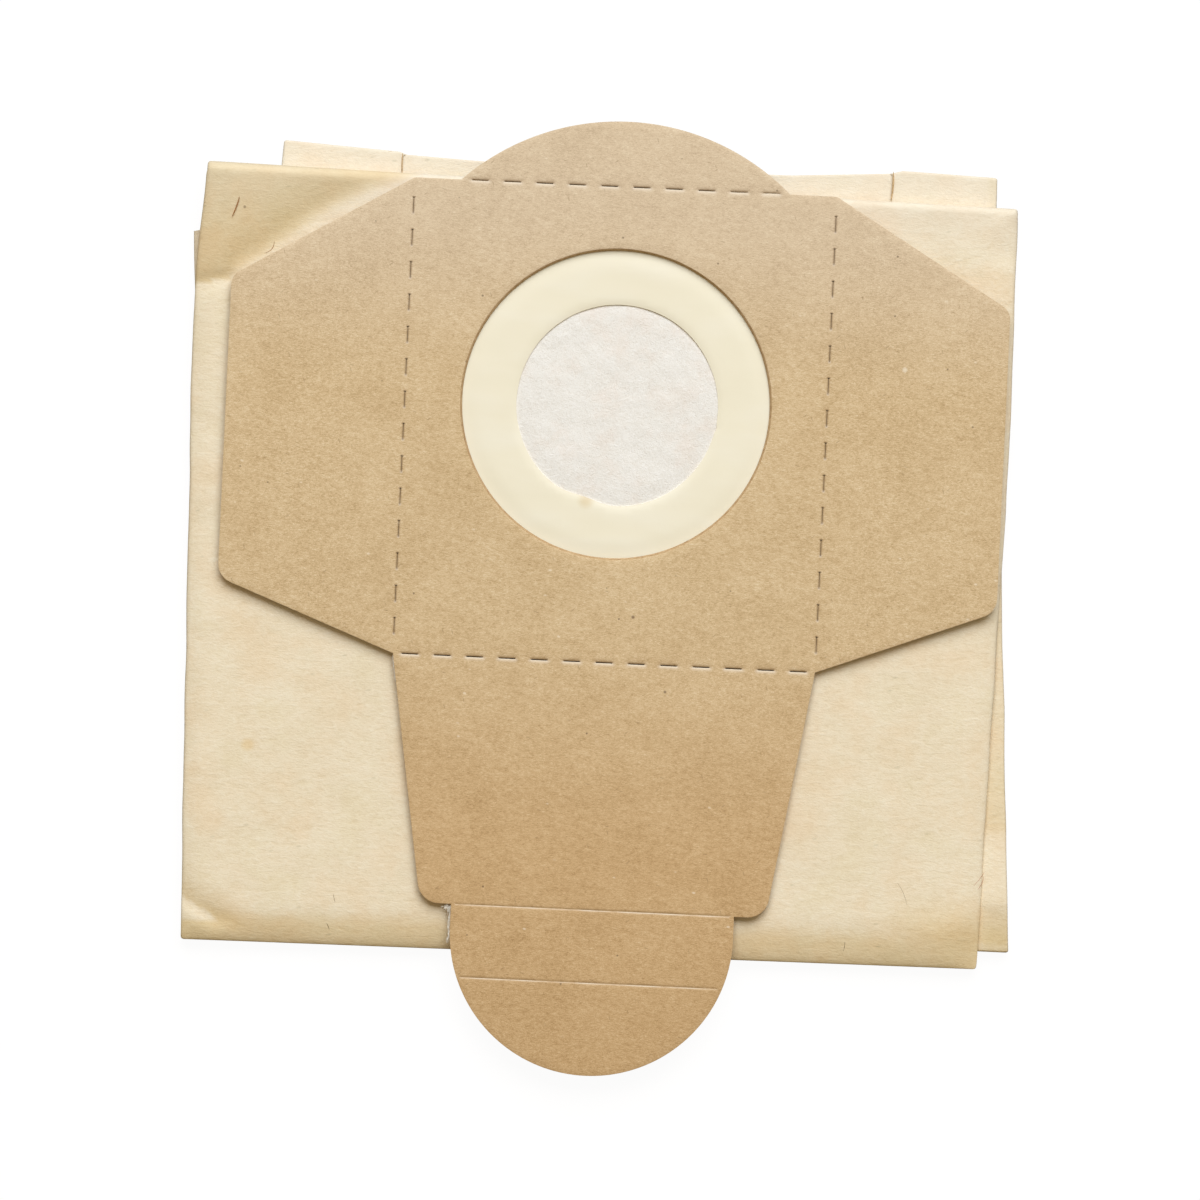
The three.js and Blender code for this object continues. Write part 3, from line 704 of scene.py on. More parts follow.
def card_outline():
    lobe_y = LOBE_TOP - LOBE_R
    start = math.asin((FRAME_TOP - lobe_y) / LOBE_R)
    side = rounded([
        (0, flap_end_y, 0),
        (FLAP_END_X, flap_end_y, FLAP_CORNER_R),
        (FRAME_X, -FRAME_BOTTOM, 0),
        (wing_x, -WING_BOTTOM, WING_BOTTOM_CORNER_R),
        (wing_x, WING_TOP, WING_TOP_CORNER_R),
        (FRAME_X, FRAME_TOP, SHOULDER_R),
        (0, FRAME_TOP, 0),
    ])[1:-1]
    lobe = arc(0, lobe_y, LOBE_R, start, math.pi - start)
    tongue = arc(0, tongue_middle_y, TONGUE_R, math.pi, 2 * math.pi)
    right = np.vstack([[(TONGUE_R, flap_end_y)], side])
    left = right[::-1] * (-1, 1)
    return divided(np.vstack([right, lobe, left, tongue]), 0.002)


def cut_places(edge):
    pitch = CUT_LENGTH + TIE_LENGTH
    count = math.floor((edge - 2 * PERFORATION_MARGIN + TIE_LENGTH) / pitch)
    return [(i - (count - 1) / 2) * pitch for i in range(count)]


def cuts():
    """The middle and half size of each cut of the perforated lines."""
    shoulder_x = math.sqrt(LOBE_R**2 - (FRAME_TOP - LOBE_TOP + LOBE_R) ** 2)
    middle_y = (FRAME_TOP - FRAME_BOTTOM) / 2
    long, thin = CUT_LENGTH / 2, CUT_WIDTH / 2
    upright = [y + middle_y for y in cut_places(FRAME_TOP + FRAME_BOTTOM)]
    found = [(side * FRAME_X, y, UPRIGHT_CUT_WIDTH / 2, long) for side in (-1, 1) for y in upright]
    found += [(x, -FRAME_BOTTOM, long, thin) for x in cut_places(2 * FRAME_X)]
    found += [(x, FRAME_TOP, long, thin) for x in cut_places(2 * shoulder_x)]
    return found


def box_loop(x, y, half_x, half_y, margin):
    a, b = half_x + margin, half_y + margin
    return divided(np.array([(x - a, y - b), (x + a, y - b), (x + a, y + b), (x - a, y + b)]), 0.0006)


def cut_loop(x, y, half_x, half_y):
    """The outline of one cut. An upright one has a nick across its top end."""
    if half_x > half_y:
        return box_loop(x, y, half_x, half_y, 0)
    neck = half_y - CUT_HEAD_HEIGHT
    right = [(half_x, -half_y), (half_x, neck), (CUT_HEAD, neck), (CUT_HEAD, half_y)]
    left = [(-a, b) for a, b in right[::-1]]
    return divided(np.array(right + left) + (x, y), 0.0006)


def cut_surrounds(x, y, half_x, half_y):
    """Guide loops round one cut, close together beside it."""
    if half_x > half_y:
        return [box_loop(x, y, half_x, half_y, margin) for margin in CUT_GUIDES]
    close = offset(cut_loop(x, y, half_x, half_y), -0.0001)
    return [close] + [box_loop(x, y, CUT_HEAD, half_y, margin) for margin in UPRIGHT_CUT_GUIDES]


def scores():
    """The place along Y and the half length of each score line across the tongue."""
    found = []
    for y in (flap_end_y, score_y):
        below = max(0, tongue_middle_y - y)
        found.append((y, math.sqrt(TONGUE_R**2 - below**2) - SCORE_INSET))
    return found


def card_mesh(rim, hole, slits):
    """The card's flat mesh, finer beside its edges, its cuts and its scores."""
    guides = [(offset(rim, d), True) for d in EDGE_GUIDES]
    guides += [(circle(0, 0, CARD_HOLE_R + d), True) for d in EDGE_GUIDES]
    guides += [(loop, True) for slit in slits for loop in cut_surrounds(*slit)]
    for score, half in scores():
        xs = np.arange(-half, half, ARC_STEP)
        guides += [(np.column_stack([xs, np.full(len(xs), score + d)]), False) for d in SCORE_GUIDES]
    inner = grid((-wing_x, -TONGUE_END), (wing_x, LOBE_TOP), CARD_STEP)
    x, y = inner.T
    keep = enclosed([rim, hole], x, y) & (distance_to([rim, hole], x, y) > EDGE_CLEARANCE)
    for cx, cy, hx, hy in slits:
        keep &= (np.abs(x - cx) > hx + CUT_CLEARANCE) | (np.abs(y - cy) > hy + CUT_CLEARANCE)
    for score, half in scores():
        keep &= (np.abs(y - score) > SCORE_CLEARANCE) | (np.abs(x) > half + 0.001)
    return flat_mesh([rim, hole] + [cut_loop(*slit) for slit in slits], guides, inner[keep])


def cut_marks(x, y, half_x, half_y):
    """How deep the face dips beside one cut, and how much painted shade and painted highlight the board gets
    there:
    painted shade above a flat cut, round an upright one and at its nick, and painted highlight below each.
    The places are from the cut's middle."""
    past_x = np.maximum(0, np.abs(x) - half_x)
    gap = np.hypot(past_x, np.maximum(0, np.abs(y) - half_y))
    if half_x > half_y:
        above, below = smooth(-half_y, half_y, y), smooth(half_y, -half_y, y)
        dip = 0.00022 * above * np.exp(-gap / 0.0003) + 0.0001 * below * np.exp(-gap / 0.00045)
        return dip, 0.75 * above * np.exp(-gap / 0.0003), 0.8 * below * np.exp(-((gap / 0.00055) ** 2))
    past_head = past_x - CUT_HEAD * (past_x > CUT_HEAD)
    from_head = np.hypot(past_head, np.maximum(0, np.abs(y - half_y) - 0.00006))
    at_head = 0.7 * smooth(0.0002, 0.00005, from_head) * (past_x < 2 * CUT_HEAD)
    shade_mark = np.maximum(0.55 * smooth(0.00026, 0.00005, gap), at_head)
    highlight_mark = 0.6 * smooth(0.00045, 0.0001, np.hypot(x, y + half_y + 0.00015))
    return 0.00008 * np.exp(-gap / 0.0002), shade_mark, highlight_mark


def score_marks(x, y, score, half):
    """How deep the face dips along one score line, and the painted shade just above it and the painted
    highlight just below it.
    """
    across = y - score
    reach = smooth(half + 0.0006, half, np.abs(x))
    broken = reach * (0.7 + 0.5 * waves(x, y, 0.004, 7.7))
    dip = 0.00012 * reach * np.exp(-((across / 0.00022) ** 2))
    shade_mark = 0.65 * broken * np.exp(-(((across - 0.00018) / 0.00012) ** 2))
    highlight_mark = broken * np.exp(-(((across + 0.00014) / 0.00013) ** 2))
    return dip, shade_mark, highlight_mark


def collar_card():
    rim = card_outline()
    hole = circle(0, 0, CARD_HOLE_R)
    slits = cuts()
    flat, faces = card_mesh(rim, hole, slits)
    x, y = flat.T
    rise = card_rise(x, y)
    edge = distance_to([rim, hole], x, y)
    top = card_top_z + rise + 0.00006 * waves(x, y, 0.045, 3.1) - 0.00009 * (1 - smooth(0, 0.00035, edge))
    # Painted shade and painted highlight beside the cuts and score lines, stored on the card's points
    painted_shade, painted_highlight = np.zeros((2, len(x)))
    for cx, cy, hx, hy in slits:
        near = (np.abs(x - cx) < hx + CUT_REACH) & (np.abs(y - cy) < hy + CUT_REACH)
        dip, shade_mark, highlight_mark = cut_marks(x[near] - cx, y[near] - cy, hx, hy)
        top[near] -= dip
        painted_shade[near] = np.maximum(painted_shade[near], shade_mark)
        painted_highlight[near] = np.maximum(painted_highlight[near], highlight_mark)
    for score, half in scores():
        dip, shade_mark, highlight_mark = score_marks(x, y, score, half)
        top -= dip
        painted_shade = np.maximum(painted_shade, shade_mark)
        painted_highlight = np.maximum(painted_highlight, highlight_mark)
    from_middle = np.hypot(x, y)[:, None]
    narrowed = np.where(from_middle < CARD_HOLE_R + 0.00001, flat * CARD_HOLE_LOW_R / from_middle, flat)
    card = slab("kraft_card", flat, faces, top, CARD_Z + rise, 50, narrowed)
    paint(card, "painted_highlight", np.concatenate([np.clip(painted_highlight, 0, 1)] * 2))
    paint(card, "painted_shade", np.concatenate([np.clip(painted_shade, 0, 1)] * 2))
    card.data.materials.append(kraft_board())
    card.data.materials.append(board_edge())
    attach(card, "root")
    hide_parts("collar_card")


# Rubber ring and inner ply

def ring_hole():
    """The ring's hole, cut a little unevenly: flat at its lower left, and nicked at its right."""
    angles = np.linspace(-math.pi, math.pi, 260, endpoint=False)
    uneven = 0.00008 * waves(np.cos(angles), np.sin(angles), 0.5, 4.4)
    flat_side = 0.00105 * np.exp(-(((angles + 1.86) / 0.21) ** 2))
    nick = 0.0003 * np.exp(-(((angles + 0.18) / 0.03) ** 2))
    radius = RING_HOLE_R + uneven - flat_side + nick
    return np.column_stack([RING_OFF_X + radius * np.cos(angles), RING_OFF_Y + radius * np.sin(angles)])


def seal_ring():
    rim = circle(0, 0, RING_OUTER_R)
    hole = ring_hole()
    guides = [(offset(hole, -d), True) for d in RING_GUIDES]
    inner = grid((-RING_OUTER_R, -RING_OUTER_R), (RING_OUTER_R, RING_OUTER_R), RING_STEP)
    x, y = inner.T
    keep = enclosed([rim, hole], x, y) & (distance_to([rim, hole], x, y) > RING_CLEARANCE)
    flat, faces = flat_mesh([rim, hole], guides, inner[keep])
    x, y = flat.T
    edge = distance_to([hole], x, y)
    shown = smooth(0.0375, 0.034, np.hypot(x, y))
    raised = shown * (RING_RAISED + 0.00005 * waves(x, y, 0.012, 5.2))
    top = ring_high.z + raised - 0.0002 * (1 - smooth(0, 0.001, edge))
    ring = slab("rubber_ring", flat, faces, top, ring_low.z + raised)
    ring.data.materials.append(seal_rubber())
    ring.data.materials.append(ring.data.materials[0])
    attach(ring, "root")
    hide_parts("seal_membrane")


def hollow_plan(margin):
    """The plan of the hollow in the front panel, drawn in from the folds by a margin, and from the crease."""
    left = front_left + BOTTOM_TAPER_LEFT + margin
    right = front_right - BOTTOM_TAPER_RIGHT - margin
    top = top_middle_y - abs(TOP_FOLD_SLOPE) * FRONT_WIDTH - margin
    bottom = bottom_middle_y + BOTTOM_FOLD_SLOPE * FRONT_WIDTH + margin
    below = (CREASE_CLEARANCE + margin) / crease_normal[1]
    slant_top = crease_start[0] + (top + below - crease_start[1]) * crease_run[0] / crease_run[1]
    return np.array([
        (left, bottom + DENT_CLEARANCE), (left + DENT_CLEARANCE, bottom), (right, bottom), (right, top),
        (slant_top, top), (left, crease_y(left) - below),
    ])


def hollow_mesh(margin, shown=0.0):
    """A flat mesh over the plan of the hollow, finer round the inlet's middle, as far as it is shown."""
    rim = divided(hollow_plan(margin), HOLLOW_STEP)
    coarse = grid(rim.min(axis=0), rim.max(axis=0), HOLLOW_STEP)
    coarse = coarse[enclosed([rim], *coarse.T) & (np.hypot(*coarse.T) > shown + HOLLOW_STEP / 2)]
    coarse = coarse[distance_to([rim], *coarse.T) > HOLLOW_STEP / 2]
    fine = grid((-shown, -shown), (shown, shown), TISSUE_STEP)
    fine = fine[np.hypot(*fine.T) < shown]
    return flat_mesh([rim], [], np.vstack([coarse, fine]))


def inner_ply():
    flat, faces = hollow_mesh(INNER_PLY_MARGIN + GLUE_GAP, TISSUE_REACH)
    x, y = flat.T
    from_middle = np.hypot(x, y)
    open_share = smooth(TISSUE_REACH, RING_HOLE_R - 0.004, from_middle)
    lie = front_lie(x, y) + TISSUE_BULGE * smooth(BAG_HOLE_R - 0.001, RING_HOLE_R, from_middle)
    lie += open_share * (0.0003 + 0.00012 * waves(x, y, 0.008, 8.8) + 0.00008 * waves(x, y, 0.0025, 2.2))
    ply = slab("tissue_ply", flat, faces, settled(x, y, ply_high.z) + lie, settled(x, y, ply_low.z) + lie)
    ply.data.materials.append(inner_tissue())
    ply.data.materials.append(ply.data.materials[0])
    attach(ply, "root")
    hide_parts("inner_ply")


# Folded paper

crease_run = unit(np.array([wing_x - FRAME_X, FRAME_TOP - WING_TOP]))
crease_normal = np.array([-crease_run[1], crease_run[0]])
crease_start = np.array([-wing_x, WING_TOP]) + crease_normal * CREASE_OFFSET

# The slope and the height of the standing corner by distance from the crease
crease_distances = np.linspace(0, 0.05, 201)
steepness = crease_distances / STEEP_AT * np.exp(1 - crease_distances / STEEP_AT)
crease_slopes = math.tan(CORNER_LIFT) * (1 - np.exp(-((crease_distances / CREASE_SOFTNESS) ** 2)))
crease_slopes += STEEP_MORE * steepness**2
crease_heights = np.cumsum(crease_slopes) * crease_distances[1]


def crease_y(x):
    return crease_start[1] + (x - crease_start[0]) * crease_run[1] / crease_run[0]


def above_crease(x, y):
    """The distance above the crease, and how far before it the bend begins."""
    along_slant = WING_TOP + (x + wing_x) * crease_run[1] / crease_run[0]
    bowed = along_slant + between(CREASE_BOW, x)
    return np.maximum(0, (y - bowed) * crease_normal[1]), SHARP_START * smooth(-0.095, -0.1, x)


def corner_rise(x, y):
    """How far the upper left corner stands up."""
    above, before = above_crease(x, y)
    low = np.interp(before, crease_distances, crease_heights)
    return np.interp(above + before, crease_distances, crease_heights) - low


def paper_shade_of(x, y, z):
    """How much painted shade the paper gets, as a warmer colour: most where the standing corner is steepest,
    by the bottom fold and at the lower right, and by place along Y on the head panel's side. Across the dent
    at the lower left corner, the side that slopes away from the light gets painted shade and the side that
    faces it gets none."""
    above, before = above_crease(x, y)
    steep = np.interp(above + before, crease_distances, crease_slopes) / crease_slopes.max()
    corner = np.where(above > 0, steep**CORNER_SHADE_POWER, 0)
    by_ear = FOLD_SHADE + (1 - FOLD_SHADE) * smooth(-0.088, -0.094, x)
    by_fold = by_ear * smooth(*FOLD_SHADE_SHARES, beyond_bottom(x, y))
    low_right = smooth(*LOW_RIGHT_SHADE[0], x) * smooth(*LOW_RIGHT_SHADE[1], y)
    warm = -EAR_SHADE * pressed(x, y, *EAR_LINE, 1.0, (EAR_SHADE_REACH, 0.0001))
    pale = pressed(x, y, *EAR_LINE, 1.0, (0.0001, EAR_SHADE_REACH)) < 0
    pale = smooth(-0.0918, -0.0945, x) * smooth(-0.1327, -0.1317, y) * pale
    front = np.clip(np.maximum.reduce([corner, by_fold, low_right]) + warm, 0, 1) * (1 - pale)
    return np.where(z > SINK_LEVEL, front, np.where(x > HEAD_SHADE_X, between(HEAD_SHADE, y), 0))


def pressed(x, y, start, end, depth, reach, soft=0.0007):
    """A line pressed into the paper, which ends at a reach on its left side and on its right side."""
    run = unit(np.array(end) - np.array(start))
    length = math.dist(start, end)
    along = (x - start[0]) * run[0] + (y - start[1]) * run[1]
    across = (y - start[1]) * run[0] - (x - start[0]) * run[1]
    past = np.maximum(0, np.maximum(-along, along - length))
    away = np.sqrt(across**2 + past**2 + soft**2) - soft
    return -depth * np.clip(1 - away / np.where(across > 0, reach[0], reach[1]), 0, 1) ** 2


def front_lie(x, y):
    """How the front panel's face departs from flat, the standing corner apart."""
    lie = 0.00016 * waves(x, y, 0.032, 1.3) + 0.00007 * waves(x, y, 0.009, 6.1)
    for ridge in RIDGES:
        lie += pressed(x, y, *ridge)
    return lie


def beyond_bottom(x, y):
    """0 where the front panel is flat, rising to 1 at the bottom fold."""
    reach = np.interp(x, [-0.1, 0.1], BOTTOM_SINK_REACH)
    return np.clip((-BOTTOM_FOLD + BOTTOM_FOLD_SLOPE * x + reach - y) / reach, 0, 1)


def settled(x, y, z):
    """The height of a point of the front panel once its folds and dents are pressed down. What lies over
    SINK_LEVEL moves towards it by a share, so the layers keep their order."""
    left, right = (between(line, y) for line in sides["front"])
    beside = np.clip(1 - np.minimum(x - left, right - x) / SIDE_SINK_REACH, 0, 1)
    depths = [SIDE_SINK * beside**2, BOTTOM_SINK * beyond_bottom(x, y) ** 2]
    depths += [-pressed(x, y, *dent) for dent in DENTS]
    left_over = np.prod([1 - depth / sink_room for depth in depths], axis=0)
    return z - np.clip(z - SINK_LEVEL, 0, sink_room) * (1 - left_over)


def head_lie(x, y):
    return 0.0001 * waves(x, y, 0.012, 9.4) + smooth(0.0925, 0.097, x) * between(HEAD_DENTS, y)


def tail_lie(x, y):
    return 0.00008 * waves(x, y, 0.02, 2.9) + pressed(x, y, *TAIL_DENT)


def side_lines():
    """The side folds of the three panels, left and right, by height in the plane."""
    belly_y = crease_y(front_left - FRONT_BULGE_LEFT)
    lean = math.tan(HEAD_TILT) * (HEAD_CORNER_Y + HEAD_END)
    bottom_left = front_left + BOTTOM_TAPER_LEFT
    bottom_right = front_right - BOTTOM_TAPER_RIGHT
    front = (
        [
            (-BOTTOM_FOLD, bottom_left),
            (0, front_left - FRONT_BULGE_LEFT),
            (belly_y, front_left - FRONT_BULGE_LEFT),
            (TOP_FOLD, front_left),
        ],
        [(-BOTTOM_FOLD, bottom_right), (0, front_right + FRONT_BULGE_RIGHT), (TOP_FOLD, front_right)],
    )
    head = (
        [
            (-HEAD_END, HEAD_LEFT + lean),
            (HEAD_CORNER_Y - HEAD_CORNER_STEP / 2, HEAD_LEFT),
            (HEAD_CORNER_Y + HEAD_CORNER_STEP / 2, HEAD_LEFT + HEAD_TUCK),
            (TOP_FOLD, front_left),
        ],
        [
            (-HEAD_END, HEAD_LEFT + HEAD_WIDTH + lean),
            (HEAD_CORNER_Y, HEAD_LEFT + HEAD_WIDTH),
            (TOP_FOLD, front_right),
        ],
    )
    tail = (
        [(-BOTTOM_FOLD, bottom_left), (TAIL_END, TAIL_END_LEFT)],
        [(-BOTTOM_FOLD, bottom_right), (TAIL_END, TAIL_END_RIGHT)],
    )
    return {"front": front, "head": head, "tail": tail}


def heights(places, steps):
    """Heights in the plane from place to place, each stretch divided into steps of its own."""
    found = [places[:1]]
    for begin, end, step in zip(places, places[1:], steps):
        found.append(np.linspace(begin, end, max(2, round(abs(end - begin) / step) + 1))[1:])
    return np.concatenate(found)


def station(kind, y, z, face_y, face_z, layer, slope, **more):
    """One cross-section of the folded paper. The layer faces out along (face_y, face_z)."""
    left, right = (between(line, y) for line in sides[kind])
    return {
        "kind": kind, "y": y, "z": z, "face_y": face_y, "face_z": face_z, "layer": layer, "slope": slope,
        "left": left, "right": right, "rise": 0.0, "rise_y": y, "dip": 0.0, "front": 0.0, **more,
    }


def head_stations():
    corner_low, corner_high = HEAD_CORNER_Y - HEAD_CORNER_STEP / 2, HEAD_CORNER_Y + HEAD_CORNER_STEP / 2
    places = [-HEAD_END, -HEAD_END + END_ROUNDING, CREASED_BELOW, corner_low, corner_high, top_middle_y]
    found = []
    for y in heights(places, [END_ROW, FINE_ROW, BACK_ROW, CORNER_ROW, BACK_ROW])[:-1]:
        end = np.clip(1 - (y + HEAD_END) / END_ROUNDING, 0, 1)
        slope = TOP_FOLD_SLOPE * max(0, y / TOP_FOLD)
        found.append(station("head", y, head_z, 0, -1, BACK_LAYER, slope, end=END_ROUNDING * end**2))
    return found


def fold_stations(begin, end, middle_y, radius, low_z, squareness, slope, stands=0.0, **more):
    """The cross-sections round an end fold, whose face turns from one angle to another. Where it stands, the
    corner's rise fades out towards the back."""
    found = []
    for angle in np.linspace(begin, end, FOLD_TURNS + 1):
        face_y, face_z = math.cos(math.radians(angle)), math.sin(math.radians(angle))
        share = (1 + face_z) / 2
        layer = BACK_LAYER + (FRONT_LAYER - BACK_LAYER) * share
        corner = (math.hypot(*squared(face_y, face_z, squareness)) - 1) * (radius + layer / 2)
        found.append(station(
            "front", middle_y + radius * face_y, low_z + (front_z - low_z) * share, face_y, face_z, layer,
            slope, front=share, corner=corner, rise=stands * share, **more,
        ))
    return found


def front_stations():
    places = [top_middle_y, CREASED_ABOVE, CREASED_BELOW, bottom_middle_y]
    found = []
    for y in heights(places, [FINE_ROW, FRONT_ROW, FINE_ROW])[1:-1]:
        share = (y - bottom_middle_y) / (top_middle_y - bottom_middle_y)
        slope = BOTTOM_FOLD_SLOPE + (TOP_FOLD_SLOPE - BOTTOM_FOLD_SLOPE) * share
        found.append(station("front", y, front_z, 0, 1, FRONT_LAYER, slope, rise=1.0, front=1.0))
    return found


def tail_stations():
    places = [bottom_middle_y, TAIL_END - TAIL_FINE, TAIL_END - END_ROUNDING, TAIL_END]
    found = []
    for y in heights(places, [BACK_ROW, TAIL_ROW, END_ROW])[1:]:
        slope = BOTTOM_FOLD_SLOPE * (TAIL_END - y) / (TAIL_END - bottom_middle_y)
        dip = smooth(TAIL_END - TAIL_DIP_REACH, TAIL_END, y)
        end = np.clip(1 - (TAIL_END - y) / END_ROUNDING, 0, 1)
        found.append(station("tail", y, tail_z, 0, -1, BACK_LAYER, slope, dip=dip, end=END_ROUNDING * end**2))
    return found


def all_stations():
    top = fold_stations(
        -90, 90, top_middle_y, top_radius, head_z, TOP_FOLD_SQUARENESS, TOP_FOLD_SLOPE,
        stands=1.0, rise_y=top_middle_y, left=front_left, right=front_right,
    )
    bottom = fold_stations(
        90, 270, bottom_middle_y, bottom_radius, tail_z, END_FOLD_SQUARENESS, BOTTOM_FOLD_SLOPE,
    )
    return head_stations() + top + front_stations() + bottom + tail_stations()


def side_fold(layer, side_width):
    """A side fold from the face round to the back, the folded-in side and back to the inside, as (x, w)
    pairs. x runs out from the fold, and w is the height above the middle of the layer."""
    depth = layer + SIDE_SLOT + SIDE_LAYER
    radius = depth / 2
    angles = np.radians(np.linspace(90, -90, ROUND_TURNS + 1))
    round_x, round_w = squared(np.cos(angles), np.sin(angles), SIDE_FOLD_SQUARENESS)
    turned = np.column_stack([radius * (round_x - 1), layer / 2 - radius + radius * round_w])
    back = layer / 2 - depth
    places = -np.concatenate([
        np.linspace(layer, side_width - FREE_EDGE, SIDE_COLUMNS + 1),
        np.linspace(side_width - FREE_EDGE, side_width, FREE_EDGE_COLUMNS + 1)[1:],
    ])
    towards_edge = np.clip((-places - side_width + FREE_EDGE) / FREE_EDGE, 0, 1)
    lying = back + FREE_EDGE_DROP * SIDE_SLOT * towards_edge**2
    thick = SIDE_LAYER * (1 - FREE_EDGE_THINNING * towards_edge**8)
    outside = lying + (SIDE_LAYER - thick) * THINNED_OUTSIDE
    return np.vstack([
        turned,
        np.column_stack([places, outside])[1:],
        np.column_stack([places, outside + thick])[::-1],
        np.column_stack([places, np.full(len(places), -layer / 2)])[:-1],
    ])


def face_columns(left, right):
    """Places across a panel's face, closer together near its sides."""
    inner_left, inner_right = left + SIDE_FACE_WIDTH, right - SIDE_FACE_WIDTH
    return np.concatenate([
        np.linspace(left, inner_left, SIDE_FACE_COLUMNS + 1)[1:-1],
        np.linspace(inner_left, inner_right, FACE_COLUMNS),
        np.linspace(inner_right, right, SIDE_FACE_COLUMNS + 1)[1:-1],
    ])


def ring_of(s):
    """All points of a cross-section, in the section's plane and placed in space."""
    wobble = EDGE_WOBBLE * noise.fractal(Vector((s["y"] / 0.016, s["z"] / 0.003, 1.7)), 1.0, 2.0, 2)
    shrink = s.get("end", 0.0)
    left = s["left"] + shrink + wobble
    right = s["right"] - shrink + wobble
    layer = s["layer"]
    right_fold = side_fold(layer, SIDE_RIGHT) * (1, 1) + (right, 0)
    left_fold = side_fold(layer, SIDE_LEFT) * (-1, 1) + (left, 0)
    face = face_columns(left_fold[0][0], right_fold[0][0])
    inner_left, inner_right = left + SIDE_LEFT, right - SIDE_RIGHT
    back = np.linspace(inner_right, inner_left, BACK_COLUMNS)
    section = np.vstack([
        np.column_stack([face, np.full(len(face), layer / 2)]),
        right_fold,
        np.column_stack([back, np.full(len(back), -layer / 2)]),
        left_fold[::-1],
    ])
    x, w = section.T
    w = w * (1 - END_TAPER * shrink / END_ROUNDING) + s.get("corner", 0.0) * smooth(0, layer / 2, w)
    y = s["y"] + w * s["face_y"] + s["slope"] * x - s["dip"] * (TAIL_END - between(TAIL_END_LINE, x))
    z = s["z"] + w * s["face_z"]
    if s["kind"] == "head":
        z = z + head_lie(x, y)
    elif s["kind"] == "tail":
        z = z + np.maximum(tail_lie(x, y), -0.00002)
    else:
        z = settled(x, y, z) + s["front"] * front_lie(x, y) + s["rise"] * corner_rise(x, s["rise_y"])
    return section, np.column_stack([x, y, z])


def cap(section):
    """Triangles that fill a cross-section, each with points that lie close together."""
    count = len(section)
    outline = [Vector(p) for p in section]
    points, _, faces, origins, _, _ = delaunay_2d_cdt(outline, [], [list(range(count))], 1, 1e-8)
    assert len(points) == count
    return [[origins[v][0] for v in face] for face in faces]


def skin():
    """The closed skin of the folded paper, over its row of cross-sections."""
    rings = [ring_of(s) for s in all_stations()]
    size = len(rings[0][0])
    points = np.vstack([placed for _, placed in rings])
    first = (np.arange(len(rings) - 1) * size)[:, None] + np.arange(size)
    after = (np.arange(len(rings) - 1) * size)[:, None] + (np.arange(size) + 1) % size
    faces = np.stack([first, first + size, after + size, after], axis=-1).reshape(-1, 4).tolist()
    last = (len(rings) - 1) * size
    faces += [face[::-1] for face in cap(rings[0][0])]
    faces += [[last + v for v in face] for face in cap(rings[-1][0])]
    return mesh_object("folded_paper", points, faces)


def prism(name, plan, low, high):
    count = len(plan)
    points = np.vstack([np.column_stack([plan, np.full(count, z)]) for z in (low, high)])
    faces = [tuple(range(count))[::-1], tuple(range(count, 2 * count))]
    faces += [(i, (i + 1) % count, (i + 1) % count + count, i + count) for i in range(count)]
    return mesh_object(name, points, faces)


def cut_by(piece, cutter):
    """The piece with the cutter's shape taken out of it."""
    modifier = piece.modifiers.new("cut", "BOOLEAN")
    modifier.operation = "DIFFERENCE"
    modifier.solver = "MANIFOLD"
    modifier.object = cutter
    shown = piece.evaluated_get(bpy.context.evaluated_depsgraph_get())
    mesh = bpy.data.meshes.new_from_object(shown)
    piece.modifiers.clear()
    piece.data = mesh
    bpy.data.objects.remove(cutter)


def paper_bag():
    paper = skin()
    depth = FRONT_LAYER - 2 * BAG_WALL
    flat, faces = hollow_mesh(INNER_PLY_MARGIN)
    lie = front_lie(*flat.T)
    top, bottom = (settled(*flat.T, front_z + half) + lie for half in (depth / 2, -depth / 2))
    cut_by(paper, slab("hollow", flat, faces, top, bottom))
    cut_by(paper, prism("hole", circle(0, 0, BAG_HOLE_R), front_z, front_z + FRONT_LAYER))
    paper.data.shade_smooth()
    paper.data.set_sharp_from_angle(angle=math.radians(40))
    paper.data.materials.clear()
    paper.data.materials.append(filter_paper())
    places = np.empty(3 * len(paper.data.vertices))
    paper.data.vertices.foreach_get("co", places)
    x, y, z = places.reshape(-1, 3).T
    # Painted shade on the paper, by place
    paint(paper, "painted_paper_shade", paper_shade_of(x, y, z))
    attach(paper, "root")
    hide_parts("paper_bag")


# Loose fibres in the faces of paper and card, and dark tubes laid as painted shadow lines

def paper_height(x, y):
    x, y = np.array([x]), np.array([y])
    return float(settled(x, y, paper_top_z)[0] + corner_rise(x, y)[0] + front_lie(x, y)[0])


def card_height(x, y):
    return float(card_top_z + card_rise(np.array([x]), np.array([y]))[0])


def hair(start, end, bend, radius, height):
    """Points and faces of one thin tube that lies on a surface, bent sideways by a share of its length."""
    start, end = np.array(start), np.array(end)
    run = end - start
    side = np.array([-run[1], run[0]])
    shares = np.linspace(0, 1, 13)
    line = start + shares[:, None] * run + (4 * bend * shares * (1 - shares))[:, None] * side
    points = []
    for share, (x, y) in zip(shares, line):
        thick = radius * math.sqrt(max(0.02, 1 - (2 * share - 1) ** 2))
        z = height(x, y) + 0.3 * radius
        across = unit(side)
        for angle in np.radians(np.arange(0, 360, 60)):
            flat = across * thick * math.cos(angle)
            points.append((x + flat[0], y + flat[1], z + 0.6 * thick * math.sin(angle)))
    faces = [
        (6 * i + j, 6 * i + (j + 1) % 6, 6 * i + 6 + (j + 1) % 6, 6 * i + 6 + j)
        for i in range(len(shares) - 1) for j in range(6)
    ]
    faces += [(5, 4, 3, 2, 1, 0), tuple(6 * (len(shares) - 1) + j for j in range(6))]
    return points, faces


